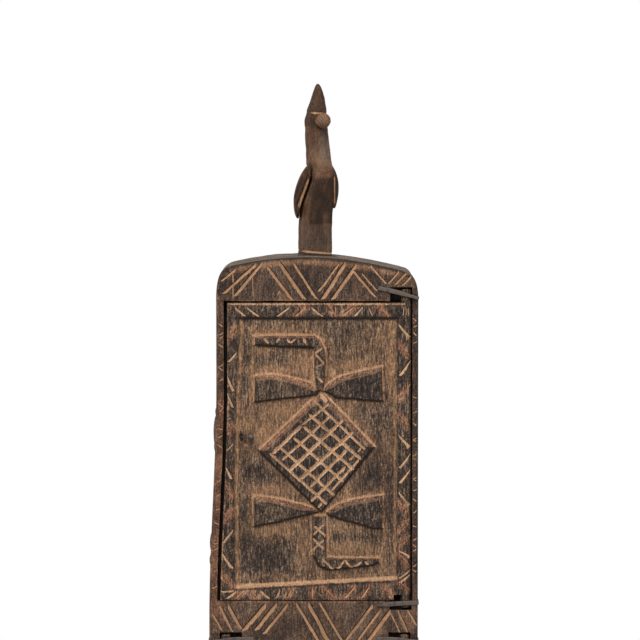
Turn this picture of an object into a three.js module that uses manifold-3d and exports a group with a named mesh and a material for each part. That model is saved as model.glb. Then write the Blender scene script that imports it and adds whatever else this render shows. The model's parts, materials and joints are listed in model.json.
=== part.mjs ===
// Carved cupboard box: one hollowed log with an arched top and a bird finial, one carved door above a
// pair of lower doors, each hung on lugs cut from its own board and held by flat iron staples.
// Millimetres. X runs to the right, Y to the back, Z up; the origin is the middle of the foot.

import * as THREE from 'three';
import { mergeVertices } from 'three/addons/utils/BufferGeometryUtils.js';
import Module from 'manifold-3d';

const wasm = await Module();
wasm.setup();

// Log: heights are stacked from the ground up
const BODY_WIDTH = 210;
const BODY_DEPTH = 130;
const BASE_RAIL = 40;
const LOWER_OPENING = 286;
const MIDDLE_RAIL = 45.5;
const UPPER_OPENING = 302.5;
const TOP_RAIL = 43.5;
const BACK_WALL = 14;
const FRONT_ROUND = 3;
const BACK_ROUND = 10;

// The left side leans in beside the upper door
const LEAN = 7.5;
const LEAN_BELOW_FLOOR = 20;
const LEAN_LENGTH = 240;

// Arched top
const SHOULDER_DROP = 45;
const CORNER_WIDTH = 24;
const CORNER_DROP = 6;

// Stiles beside the openings, set back a little from the rails
const UPPER_LEFT_STILE = 7.7;
const UPPER_RIGHT_STILE = 6;
const LOWER_LEFT_STILE = 10.3;
const LOWER_RIGHT_STILE = 7;
const STILE_STEP = 1.2;

// Hollows behind the doors
const STOP_LEDGE = 3;
const HOLLOW_ROUND = 12;

// Doors
const DOOR_THICKNESS = 13;
const FREE_GAP = 3.2;
const MEETING_GAP = 2;
const TOP_GAP = 1.8;
const BOTTOM_GAP = 0.8;
const BACK_GAP = 0.8;
const HINGE_GAP = 1.1;
const HINGE_ROUND = 5.3;
const HINGE_EASE = 4.5;
const RELIEF = 3.5;
const FIELD_BEVEL = 2.5;

// Pivot lugs and the notches they turn in
const LUG_RADIUS = 5.1;
const TOP_LUG = 12;
const BOTTOM_LUG = 7;
const LUG_END_GAP = 2;
const LUG_SIDE_GAP = 1;
const NOTCH_SIDE = 11;
const FOOT_NOTCH_SIDE = 7;
const FOOT_NOTCH = 5.7;

// Iron staples
const STAPLE_THICKNESS = 1.5;
const STAPLE_WIDTH = 4.4;
const STAPLE_REACH = 29;
const STAPLE_PRONG = 9;
const STAPLE_WRAP = 16;
const STAPLE_HOOK = 3.5;
const STAPLE_TIP = 0.4;
const STAPLE_LET_IN = 0.6;
const TOP_STAPLE_RISE = 5.9;
const TOP_STAPLE_TILT = 13.7;
const BOTTOM_STAPLE_DROP = 0.6;
const BOTTOM_STAPLE_TILT = -7;

// Nail pulls
const PULL_INSET = 15;
const UPPER_PULL_RISE = 15;
const PULL_SHANK = 1.3;
const PULL_HEAD = 3.1;
const PULL_DEPTH = 7;
const PULL_BEND = 9.5;
const PULL_RISE = 2.4;
const PIT_WIDTH = 4;
const PIT_HEIGHT = 8.4;
const PIT_DEPTH = 2;

// Upper door's carving
const UPPER_BORDER_HINGE = 13.4;
const UPPER_BORDER_FREE = 11;
const UPPER_BORDER_TOP = 15.2;
const UPPER_BORDER_FOOT = 12.5;
const FIELD_FOOT_TILT = 10;
const LOZENGE_HEIGHT = 122;
const LOZENGE_WIDTH = 116;
const LOZENGE_SHIFT = 3.5;
const LATTICE_LINES = 6;
const BAR_WIDTH = 13;
const BAR_MARGIN = 18;
const FOOT_BAR_MARGIN = 13.5;
const FOOT_BAR_TIP = 7;
const WEDGE_MARGIN = 16;
const WEDGE_OUTER = 31;
const WEDGE_INNER = 4;
const WEDGE_BULGE = 5;
const RAISED_BEVEL = 1.2;

// Lower doors' carving
const LOWER_BORDER = 12;
const LOWER_LOZENGE_WIDTH = 44;
const LOWER_LOZENGE_HEIGHT = 96;

// Grooves
const GROOVE_WIDTH = 3.4;
const GROOVE_DEPTH = 1.5;
const LATTICE_GROOVE_WIDTH = 2.4;
const LATTICE_GROOVE_DEPTH = 1.1;
const GROOVE_MARGIN = 2;

// Bird finial, set behind the front of the top
const FINIAL_X = 1.5;
const FINIAL_Y = 4;
const FINIAL_HEIGHT = 174;
const FINIAL_SINK = 12;
const POST_WIDTH = 34.6;
const POST_DEPTH = 36;
const EYE_RADIUS = 7;
const BALL_FACETS = 16;
const WING_THICKNESS = 20;
const WING_BEVEL = 3;
const WING_EDGE = 1.6;

// Gap between pieces that seat on each other, and how far a slot is grown round its piece
const SEAT = 0.35;
const SLOT_GROWTH = 0.3;

// Levels and planes that follow from the sizes above
const HALF = BODY_WIDTH / 2;
const FRONT = -BODY_DEPTH / 2;
const BACK = BODY_DEPTH / 2;
const LOWER_FLOOR = BASE_RAIL;
const LOWER_CEILING = LOWER_FLOOR + LOWER_OPENING;
const UPPER_FLOOR = LOWER_CEILING + MIDDLE_RAIL;
const UPPER_CEILING = UPPER_FLOOR + UPPER_OPENING;
const CROWN = UPPER_CEILING + TOP_RAIL;
const FIELD = FRONT + RELIEF;
const AXIS_Y = FRONT + HINGE_ROUND;
const BEYOND = 5;

const wood = new THREE.MeshStandardMaterial({ color: 0x6b5442, roughness: 0.75, metalness: 0 });
const iron = new THREE.MeshStandardMaterial({ color: 0x5c5550, roughness: 0.6, metalness: 0.7 });

// Solids, joins and cuts

function solid(geometry) {
  const bare = geometry.clone();
  bare.deleteAttribute('normal');
  bare.deleteAttribute('uv');
  const welded = mergeVertices(bare, 1e-4);
  const body = new wasm.Manifold(new wasm.Mesh({
    numProp: 3,
    vertProperties: new Float32Array(welded.attributes.position.array),
    triVerts: new Uint32Array(welded.index.array),
  }));
  return body;
}

function join(bodies) {
  return bodies.reduce((whole, body) => whole.add(body));
}

function cut(body, tools) {
  return tools.reduce((rest, tool) => rest.subtract(tool), body);
}

function piece(name, body, material) {
  const drawn = body.getMesh();
  const geometry = new THREE.BufferGeometry();
  geometry.setAttribute('position', new THREE.BufferAttribute(drawn.vertProperties, 3));
  geometry.setIndex(new THREE.BufferAttribute(drawn.triVerts, 1));
  geometry.computeVertexNormals();
  const mesh = new THREE.Mesh(geometry, material);
  mesh.name = name;
  return mesh;
}

function box(x0, x1, y0, y1, z0, z1) {
  const geometry = new THREE.BoxGeometry(x1 - x0, y1 - y0, z1 - z0);
  geometry.translate((x0 + x1) / 2, (y0 + y1) / 2, (z0 + z1) / 2);
  return solid(geometry);
}

function ball(centre, radii) {
  const geometry = new THREE.SphereGeometry(1, BALL_FACETS, BALL_FACETS / 2);
  geometry.scale(...radii);
  geometry.translate(...centre);
  return solid(geometry);
}

// Outline helpers: an outline is a list of [across, up] corners

function counterclockwise(points) {
  const corners = points.map(([u, v]) => new THREE.Vector2(u, v));
  return THREE.ShapeUtils.isClockWise(corners) ? points.slice().reverse() : points;
}

function arc(centreU, centreV, radius, fromDegrees, toDegrees, steps) {
  const points = [];
  for (let i = 0; i <= steps; i += 1) {
    const angle = THREE.MathUtils.degToRad(fromDegrees + (toDegrees - fromDegrees) * (i / steps));
    points.push([centreU + radius * Math.cos(angle), centreV + radius * Math.sin(angle)]);
  }
  return points;
}

// An edge between two corners that bows up in the middle
function bowed(from, to, bulge, steps) {
  const start = new THREE.Vector2(...from);
  const end = new THREE.Vector2(...to);
  const crest = start.clone().add(end).multiplyScalar(0.5).add(new THREE.Vector2(0, 2 * bulge));
  const curve = new THREE.QuadraticBezierCurve(start, crest, end);
  return curve.getPoints(steps).map((point) => [point.x, point.y]);
}

// A closed skin over rings that all have the same number of corners, with both ends capped
function skin(rings, place) {
  const count = rings[0].points.length;
  const positions = [];
  for (const ring of rings) {
    for (const [u, v] of ring.points) {
      positions.push(...place(u, v, ring.level));
    }
  }
  const contour = rings[0].points.map(([u, v]) => new THREE.Vector2(u, v));
  const far = (rings.length - 1) * count;
  const faces = [];
  for (const [a, b, c] of THREE.ShapeUtils.triangulateShape(contour, [])) {
    faces.push(a, b, c, far + a, far + c, far + b);
  }
  for (let start = 0; start < far; start += count) {
    for (let j = 0; j < count; j += 1) {
      const near = start + j;
      const next = start + ((j + 1) % count);
      faces.push(near, near + count, next, next, near + count, next + count);
    }
  }
  const geometry = new THREE.BufferGeometry();
  geometry.setAttribute('position', new THREE.Float32BufferAttribute(positions, 3));
  geometry.setIndex(faces);
  return solid(geometry);
}

// A slab seen from the front, whose outline shrinks towards a centre at each station in depth
function slab(outline, stations, centre, half) {
  const corners = counterclockwise(outline);
  const rings = stations.map(({ level, inset }) => ({
    level,
    points: corners.map(([x, z]) => [
      centre[0] + (x - centre[0]) * (1 - inset / half[0]),
      centre[1] + (z - centre[1]) * (1 - inset / half[1]),
    ]),
  }));
  return skin(rings, (x, z, y) => [x, y, z]);
}

// Depth stations of a quarter-round edge that starts flush and ends pulled in
function roundedEnd(level, radius, direction, steps) {
  const stations = [];
  for (let i = 0; i <= steps; i += 1) {
    const angle = (i / steps) * (Math.PI / 2);
    stations.push({
      level: level - direction * radius * (1 - Math.sin(angle)),
      inset: radius * (1 - Math.cos(angle)),
    });
  }
  return stations;
}

// A straight cut through the depth, from the outline seen from the front
function throughDepth(outline, front, back) {
  const shape = new THREE.Shape(counterclockwise(outline).map(([x, z]) => new THREE.Vector2(x, z)));
  const geometry = new THREE.ExtrudeGeometry(shape, { depth: back - front, bevelEnabled: false });
  geometry.rotateX(Math.PI / 2);
  geometry.translate(0, back, 0);
  return solid(geometry);
}

// The same, standing: from the outline seen from above
function standing(outline, bottom, top) {
  const shape = new THREE.Shape(counterclockwise(outline).map(([x, y]) => new THREE.Vector2(x, y)));
  const geometry = new THREE.ExtrudeGeometry(shape, { depth: top - bottom, bevelEnabled: false });
  geometry.translate(0, 0, bottom);
  return solid(geometry);
}

// A form with sloping sides: full size at the base plane, smaller by the bevel at the tip plane
function sloped(outline, base, tip, bevel) {
  const rooted = 2;
  const shape = new THREE.Shape(counterclockwise(outline).map(([x, z]) => new THREE.Vector2(x, z)));
  const geometry = new THREE.ExtrudeGeometry(shape, {
    depth: rooted,
    bevelEnabled: true,
    bevelThickness: Math.abs(tip - base),
    bevelSize: bevel,
    bevelOffset: -bevel,
    bevelSegments: 1,
  });
  geometry.rotateX(Math.PI / 2);
  geometry.translate(0, tip < base ? base + rooted : base, 0);
  return solid(geometry);
}

// A straight V-groove in a face that looks to the front
function groove([x0, z0], [x1, z1], face, width, depth) {
  const overshoot = 1;
  const spread = (width / 2) * (1 + overshoot / depth);
  const section = new THREE.Shape([
    new THREE.Vector2(-spread, -overshoot),
    new THREE.Vector2(spread, -overshoot),
    new THREE.Vector2(0, depth),
  ]);
  const along = new THREE.Vector3(x1 - x0, 0, z1 - z0);
  const geometry = new THREE.ExtrudeGeometry(section, { depth: along.length(), bevelEnabled: false });
  along.normalize();
  const inward = new THREE.Vector3(0, 1, 0);
  const across = new THREE.Vector3().crossVectors(inward, along);
  geometry.applyMatrix4(new THREE.Matrix4().makeBasis(across, inward, along));
  geometry.translate(x0, face, z0);
  return solid(geometry);
}

// Places on the body

function leftSide(z) {
  const start = UPPER_FLOOR - LEAN_BELOW_FLOOR;
  return -HALF + LEAN * THREE.MathUtils.smoothstep(z, start, start + LEAN_LENGTH);
}

function sideSamples(leftEdge, top, bottom) {
  const steps = 8;
  const points = [];
  for (let i = 0; i <= steps; i += 1) {
    const z = top + (bottom - top) * (i / steps);
    points.push([leftEdge(z), z]);
  }
  return points;
}

const UPPER = {
  floor: UPPER_FLOOR,
  ceiling: UPPER_CEILING,
  left: (z) => leftSide(z) + UPPER_LEFT_STILE,
  right: HALF - UPPER_RIGHT_STILE,
};
const LOWER = {
  floor: LOWER_FLOOR,
  ceiling: LOWER_CEILING,
  left: (z) => leftSide(z) + LOWER_LEFT_STILE,
  right: HALF - LOWER_RIGHT_STILE,
};
const SEAM = (LOWER.left(LOWER_FLOOR) + LOWER.right) / 2;

// Each door: side is +1 where the hinge is on the right, free is its free edge
const DOORS = [
  {
    name: 'upper_door',
    opening: UPPER,
    side: 1,
    axis: UPPER.right - HINGE_GAP - HINGE_ROUND,
    free: (z) => UPPER.left(z) + FREE_GAP,
  },
  {
    name: 'lower_left_door',
    opening: LOWER,
    side: -1,
    axis: LOWER.left(LOWER_FLOOR) + HINGE_GAP + HINGE_ROUND,
    free: () => SEAM - MEETING_GAP / 2,
  },
  {
    name: 'lower_right_door',
    opening: LOWER,
    side: 1,
    axis: LOWER.right - HINGE_GAP - HINGE_ROUND,
    free: () => SEAM + MEETING_GAP / 2,
  },
];
for (const door of DOORS) {
  door.bottom = door.opening.floor + BOTTOM_GAP;
  door.top = door.opening.ceiling - TOP_GAP;
}

// Staples: a flat strip across the lug, one end driven into the rail, the other wrapped round the
// side and hooked in. The slot that it sits in is the same form, grown by the seat.

function staple(door, level, tiltDegrees, grow) {
  const { side, axis } = door;
  const start = axis - side * STAPLE_REACH;
  const inner = FRONT - SEAT;
  const outer = inner - STAPLE_THICKNESS;
  const legInner = side * (HALF - STAPLE_LET_IN);
  const legOuter = legInner + side * STAPLE_THICKNESS;
  const legEnd = FRONT + STAPLE_WRAP;
  const out = side * grow;
  const outline = [
    [start - out, outer - grow],
    [legOuter + out, outer - grow],
    [legOuter + out, legEnd + grow],
    [legInner - side * STAPLE_HOOK - out, legEnd + grow],
    [legInner - side * STAPLE_HOOK - out, legEnd - STAPLE_TIP - grow],
    [legInner - out, legEnd - STAPLE_THICKNESS - grow],
    [legInner - out, inner + grow],
    [start + side * STAPLE_THICKNESS + out, inner + grow],
    [start + side * STAPLE_THICKNESS * 0.6 + out, FRONT + STAPLE_PRONG + grow],
    [start - out, FRONT + STAPLE_PRONG + grow],
  ];
  const corners = counterclockwise(outline).map(([x, y]) => new THREE.Vector2(x - axis, y));
  const height = STAPLE_WIDTH + 2 * grow;
  const geometry = new THREE.ExtrudeGeometry(new THREE.Shape(corners), {
    depth: height,
    bevelEnabled: false,
  });
  geometry.translate(0, 0, -height / 2);
  geometry.rotateY(THREE.MathUtils.degToRad(side * tiltDegrees));
  geometry.translate(axis, 0, level);
  return solid(geometry);
}

function topStaple(door, grow) {
  return staple(door, door.opening.ceiling + TOP_STAPLE_RISE, TOP_STAPLE_TILT, grow);
}

function bottomStaple(door, grow) {
  return staple(door, door.opening.floor - BOTTOM_STAPLE_DROP, BOTTOM_STAPLE_TILT, grow);
}

// Body

function bodyOutline() {
  const spring = CROWN - SHOULDER_DROP;
  const left = leftSide(spring);
  const shape = new THREE.Shape();
  shape.moveTo(-HALF, 0);
  shape.lineTo(HALF, 0);
  shape.lineTo(HALF, spring);
  shape.bezierCurveTo(
    HALF, CROWN - 0.42 * SHOULDER_DROP,
    HALF - 0.3 * CORNER_WIDTH, CROWN - 1.6 * CORNER_DROP,
    HALF - CORNER_WIDTH, CROWN - CORNER_DROP,
  );
  shape.quadraticCurveTo(0, CROWN + CORNER_DROP, left + CORNER_WIDTH, CROWN - CORNER_DROP);
  shape.bezierCurveTo(
    left + 0.3 * CORNER_WIDTH, CROWN - 1.6 * CORNER_DROP,
    left, CROWN - 0.42 * SHOULDER_DROP,
    left, spring,
  );
  const outline = shape.getPoints(9).map((point) => [point.x, point.y]);
  const leaning = sideSamples(leftSide, spring, UPPER_FLOOR - LEAN_BELOW_FLOOR);
  return outline.slice(0, -1).concat(leaning);
}

function openingOutline(opening, ledge) {
  const left = (z) => opening.left(z) + ledge;
  return [
    [opening.right, opening.floor + ledge],
    [opening.right, opening.ceiling - ledge],
    ...sideSamples(left, opening.ceiling - ledge, opening.floor + ledge),
  ];
}

// The pocket that holds the doors, and the rounded hollow behind it
function hollow(opening) {
  const pocketBack = FRONT + DOOR_THICKNESS + BACK_GAP;
  const pocket = throughDepth(openingOutline(opening, 0), FRONT - BEYOND, pocketBack);
  const hollowBack = BACK - BACK_WALL;
  const middle = (opening.floor + opening.ceiling) / 2;
  const left = opening.left(opening.floor);
  const stations = [
    { level: FRONT, inset: 0 },
    ...roundedEnd(hollowBack, HOLLOW_ROUND, 1, 3),
  ];
  const centre = [(left + opening.right) / 2, middle];
  const half = [(opening.right - left) / 2, (opening.ceiling - opening.floor) / 2];
  const inside = slab(openingOutline(opening, STOP_LEDGE), stations, centre, half);
  return pocket.add(inside);
}

// A stile that carries a door is set back as far up as the door's lug
function stileSteps(opening) {
  const carries = (side) => DOORS.some((door) => door.opening === opening && door.side === side);
  const head = (side) => opening.ceiling + (carries(side) ? TOP_LUG : 0);
  const face = FRONT + STILE_STEP;
  const leftOutline = [
    [opening.left(opening.floor), opening.floor],
    ...sideSamples((z) => leftSide(z) - BEYOND, opening.floor, head(-1)),
    ...sideSamples(opening.left, head(-1), opening.floor).slice(0, -1),
  ];
  return [
    throughDepth(leftOutline, FRONT - BEYOND, face),
    box(opening.right, HALF + BEYOND, FRONT - BEYOND, face, opening.floor, head(1)),
  ];
}

function lugNotches(door) {
  const { side, axis, opening } = door;
  const far = axis - side * (LUG_RADIUS + NOTCH_SIDE);
  const near = axis + side * (LUG_RADIUS + LUG_SIDE_GAP);
  const x0 = Math.min(far, near);
  const x1 = Math.max(far, near);
  const back = AXIS_Y + LUG_RADIUS + LUG_SIDE_GAP;
  const top = opening.ceiling + TOP_LUG + LUG_END_GAP;
  const bottom = opening.floor - BOTTOM_LUG - LUG_END_GAP;
  return [
    box(x0, x1, FRONT - BEYOND, back, opening.ceiling - BEYOND, top),
    box(x0, x1, FRONT - BEYOND, back, bottom, opening.floor + BEYOND),
  ];
}

// Chevrons of three grooves each. Each row gives where the first groove stands at the rail's foot
// and at its head, as shares of the half width, and the pitch to the next.
const TOP_CHEVRONS = [
  [-0.89, -0.63, 12],
  [-0.18, -0.44, 12.5],
  [0.06, 0.28, 8.5],
  [0.59, 0.36, 9.5],
];
const MIDDLE_CHEVRONS = [
  [-0.87, -1, 10.5],
  [-0.69, -0.46, 11.5],
  [0.06, -0.15, 12],
  [0.31, 0.57, 12],
  [0.85, 0.73, 10],
];

function chevrons(rows, foot, head) {
  const tools = [];
  for (const [atFoot, atHead, pitch] of rows) {
    for (let i = 0; i < 3; i += 1) {
      const start = [atFoot * HALF + i * pitch, foot + GROOVE_MARGIN];
      const end = [atHead * HALF + i * pitch, head - GROOVE_MARGIN];
      tools.push(groove(start, end, FRONT, GROOVE_WIDTH, GROOVE_DEPTH));
    }
  }
  return tools;
}

// Low animals on the left side: shell, head and feet, each a flattened ball sunk in the side.
// A row is [depth place, height above the shell's middle, length, breadth, how far it stands out].
function sideAnimal(middle, parts) {
  return parts.map(([y, up, length, breadth, proud]) => {
    const z = middle + up;
    return ball([leftSide(z), y, z], [proud, breadth, length]);
  });
}

const LARGE_ANIMAL = [
  [0, 0, 19, 17, 4],
  [0, 21, 6, 6, 2.6],
  [-15, 13, 7, 5, 2.4],
  [15, 13, 7, 5, 2.4],
  [-15, -13, 7, 5, 2.4],
  [15, -13, 7, 5, 2.4],
];
const SMALL_ANIMAL = [
  [-6, 0, 11, 11, 2.8],
  [-6, -18, 7, 6, 2.6],
  [-17, 3, 4, 4, 2],
  [5, 3, 4, 4, 2],
];
const LARGE_ANIMAL_ABOVE_FLOOR = 164.5;
const SMALL_ANIMAL_ABOVE_FLOOR = 51.5;

// Finial. A section is [height, middle, half width, half depth, forward lean, squareness]. Heights are
// shares of the finial's height, and the rest of the post's half width or half depth.
const BIRD_SECTIONS = [
  [-0.07, 0, 1, 1, 0, 7],
  [0, 0, 1, 1, 0, 7],
  [0.2, 0.02, 0.98, 0.95, 0, 7],
  [0.3, 0.11, 0.94, 0.92, 0.03, 6],
  [0.37, 0.26, 0.81, 0.89, 0.05, 6],
  [0.44, 0.39, 0.68, 0.86, 0.06, 6],
  [0.49, 0.41, 0.7, 0.83, 0.08, 4],
  [0.53, 0.23, 0.76, 0.72, 0.06, 3.4],
  [0.56, 0.2, 0.73, 0.64, 0, 3],
  [0.62, 0.17, 0.71, 0.6, 0, 3],
  [0.7, 0.09, 0.69, 0.58, 0, 3],
  [0.76, 0.05, 0.65, 0.58, 0, 2.8],
  [0.8, 0.04, 0.62, 0.6, 0, 2.6],
  [0.84, 0.08, 0.56, 0.56, 0, 2.4],
  [0.875, 0.13, 0.47, 0.48, 0, 2.2],
  [0.92, 0.17, 0.38, 0.36, 0, 2],
  [0.955, 0.17, 0.28, 0.27, 0, 2],
  [0.98, 0.17, 0.17, 0.17, 0, 2],
  [0.994, 0.16, 0.09, 0.09, 0, 2],
  [1, 0.15, 0.03, 0.03, 0, 2],
];

function birdRing([height, middle, halfWidth, halfDepth, forward, squareness]) {
  const sides = 20;
  const points = [];
  for (let i = 0; i < sides; i += 1) {
    const angle = ((i + 0.5) / sides) * 2 * Math.PI;
    const across = Math.cos(angle);
    const deep = Math.sin(angle);
    const length = (Math.abs(across) ** squareness + Math.abs(deep) ** squareness) ** (1 / squareness);
    points.push([
      FINIAL_X + (middle + (halfWidth * across) / length) * (POST_WIDTH / 2),
      -FINIAL_Y + (forward + (halfDepth * deep) / length) * (POST_DEPTH / 2),
    ]);
  }
  return { level: CROWN + height * FINIAL_HEIGHT, points };
}

// Wing outlines, [across, height] in the same shares
const LEFT_WING = [
  [-0.23, 0.53], [-0.52, 0.51], [-0.9, 0.45], [-1.16, 0.38], [-1.24, 0.32], [-1.18, 0.25],
  [-1.01, 0.215], [-0.87, 0.24], [-0.78, 0.29], [-0.52, 0.37], [-0.23, 0.45],
];
const RIGHT_WING = [
  [0.92, 0.51], [1.13, 0.49], [1.31, 0.45], [1.36, 0.4], [1.32, 0.34], [1.16, 0.28], [0.98, 0.3],
  [0.87, 0.4],
];

function wing(outline) {
  const corners = outline.map(([across, height]) => [
    FINIAL_X + across * (POST_WIDTH / 2),
    CROWN + height * FINIAL_HEIGHT,
  ]);
  const shape = new THREE.Shape(counterclockwise(corners).map(([x, z]) => new THREE.Vector2(x, z)));
  const core = WING_THICKNESS - 2 * WING_BEVEL;
  const geometry = new THREE.ExtrudeGeometry(shape, {
    depth: core,
    bevelEnabled: true,
    bevelThickness: WING_BEVEL,
    bevelSize: WING_EDGE,
    bevelOffset: -WING_EDGE,
    bevelSegments: 2,
  });
  geometry.rotateX(Math.PI / 2);
  geometry.translate(0, FINIAL_Y + core / 2, 0);
  return solid(geometry);
}

// Eyes, [across, back, height] in the same shares: one looks out to the front, one to the back
const EYES = [
  [0.5, -0.5, 0.785],
  [-0.1, 0.5, 0.785],
];

function finial() {
  const bird = skin(BIRD_SECTIONS.map(birdRing), (x, y, z) => [x, -y, z]);
  const eyes = EYES.map(([across, back, height]) => {
    const x = FINIAL_X + across * (POST_WIDTH / 2);
    const y = FINIAL_Y + back * (POST_DEPTH / 2);
    return ball([x, y, CROWN + height * FINIAL_HEIGHT], [EYE_RADIUS, EYE_RADIUS, EYE_RADIUS]);
  });
  const foot = box(
    FINIAL_X - POST_WIDTH / 2, FINIAL_X + POST_WIDTH / 2,
    FINIAL_Y - POST_DEPTH / 2, FINIAL_Y + POST_DEPTH / 2,
    CROWN - FINIAL_SINK, CROWN,
  );
  return join([bird, ...eyes, wing(LEFT_WING), wing(RIGHT_WING), foot]);
}

function carvedBody() {
  const stations = [
    ...roundedEnd(FRONT, FRONT_ROUND, -1, 2).reverse(),
    ...roundedEnd(BACK, BACK_ROUND, 1, 3),
  ];
  const log = slab(bodyOutline(), stations, [0, 0], [HALF, CROWN]);
  const animals = [
    ...sideAnimal(UPPER_FLOOR + LARGE_ANIMAL_ABOVE_FLOOR, LARGE_ANIMAL),
    ...sideAnimal(UPPER_FLOOR + SMALL_ANIMAL_ABOVE_FLOOR, SMALL_ANIMAL),
  ];
  const carved = join([log, finial(), ...animals]);
  return cut(carved, [
    hollow(UPPER),
    hollow(LOWER),
    ...stileSteps(UPPER),
    ...stileSteps(LOWER),
    ...DOORS.flatMap(lugNotches),
    ...DOORS.map((door) => topStaple(door, SLOT_GROWTH)),
    ...DOORS.map((door) => bottomStaple(door, SLOT_GROWTH)),
    ...chevrons(TOP_CHEVRONS, UPPER_CEILING, CROWN - CORNER_DROP),
    ...chevrons(MIDDLE_CHEVRONS, LOWER_CEILING, UPPER_FLOOR),
    ...chevrons(MIDDLE_CHEVRONS, 0, LOWER_FLOOR),
  ]);
}

// Doors

// The hinge edge is rounded about the axis in front and eased behind, so that the leaf can turn
function leafBlank(door) {
  const { side, axis, bottom, top, free } = door;
  const back = FRONT + DOOR_THICKNESS;
  const far = axis - side * BODY_WIDTH;
  const edge = arc(0, AXIS_Y, HINGE_ROUND, -90, 0, 6).map(([x, y]) => [axis + side * x, y]);
  const plan = [
    [far, back],
    [far, FRONT],
    ...edge,
    [axis + side * HINGE_ROUND, back - HINGE_EASE],
    [axis + side * (HINGE_ROUND - HINGE_EASE), back],
  ];
  const hinged = axis + side * (HINGE_ROUND + BEYOND);
  const front = [[hinged, bottom], [hinged, top], ...sideSamples(free, top, bottom)];
  const blank = standing(plan, bottom, top);
  return blank.intersect(throughDepth(front, FRONT - BEYOND, back + BEYOND));
}

// The leaf is notched over its lower staple, and the lugs stand on the axis
function withLugs(door, leaf) {
  const { side, axis, bottom, opening } = door;
  const notchFar = axis - side * (LUG_RADIUS + FOOT_NOTCH_SIDE);
  const notchNear = axis + side * (HINGE_ROUND + BEYOND);
  const footNotch = box(
    Math.min(notchFar, notchNear), Math.max(notchFar, notchNear),
    FRONT - BEYOND, FRONT + DOOR_THICKNESS + BEYOND,
    bottom - BEYOND, bottom + FOOT_NOTCH,
  );
  const lug = arc(axis, AXIS_Y, LUG_RADIUS, 0, 360, 20).slice(0, -1);
  const topLug = standing(lug, door.top - BEYOND, opening.ceiling + TOP_LUG);
  const bottomLug = standing(lug, opening.floor - BOTTOM_LUG, bottom + FOOT_NOTCH + BEYOND);
  return join([leaf.subtract(footNotch), topLug, bottomLug]);
}

function pullPlace(door) {
  const rise = door.opening === UPPER ? UPPER_PULL_RISE : 0;
  const z = (door.bottom + door.top) / 2 + rise;
  return [door.free(z) + door.side * PULL_INSET, z];
}

function pullHole(door) {
  const [x, z] = pullPlace(door);
  const circle = arc(x, z, PULL_SHANK + SEAT, 0, 360, 12).slice(0, -1);
  const pit = box(
    x - PIT_WIDTH / 2, x + PIT_WIDTH / 2,
    FRONT - BEYOND, FIELD + PIT_DEPTH,
    z - PIT_HEIGHT / 2, z + PIT_HEIGHT / 2,
  );
  return throughDepth(circle, FRONT - BEYOND, FIELD + PULL_DEPTH + SEAT).add(pit);
}

function latticeGrooves(left, top, right, bottom) {
  const between = (p, q, t) => [p[0] + (q[0] - p[0]) * t, p[1] + (q[1] - p[1]) * t];
  const tools = [];
  for (let i = 1; i <= LATTICE_LINES; i += 1) {
    const t = i / (LATTICE_LINES + 1);
    const rising = [between(left, bottom, t), between(top, right, t)];
    const falling = [between(left, top, t), between(bottom, right, t)];
    for (const [from, to] of [rising, falling]) {
      const start = between(from, to, 0.07);
      const end = between(from, to, 0.93);
      tools.push(groove(start, end, FRONT, LATTICE_GROOVE_WIDTH, LATTICE_GROOVE_DEPTH));
    }
  }
  return tools;
}

function raised(outline) {
  return sloped(outline, FIELD, FRONT, RAISED_BEVEL);
}

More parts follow.
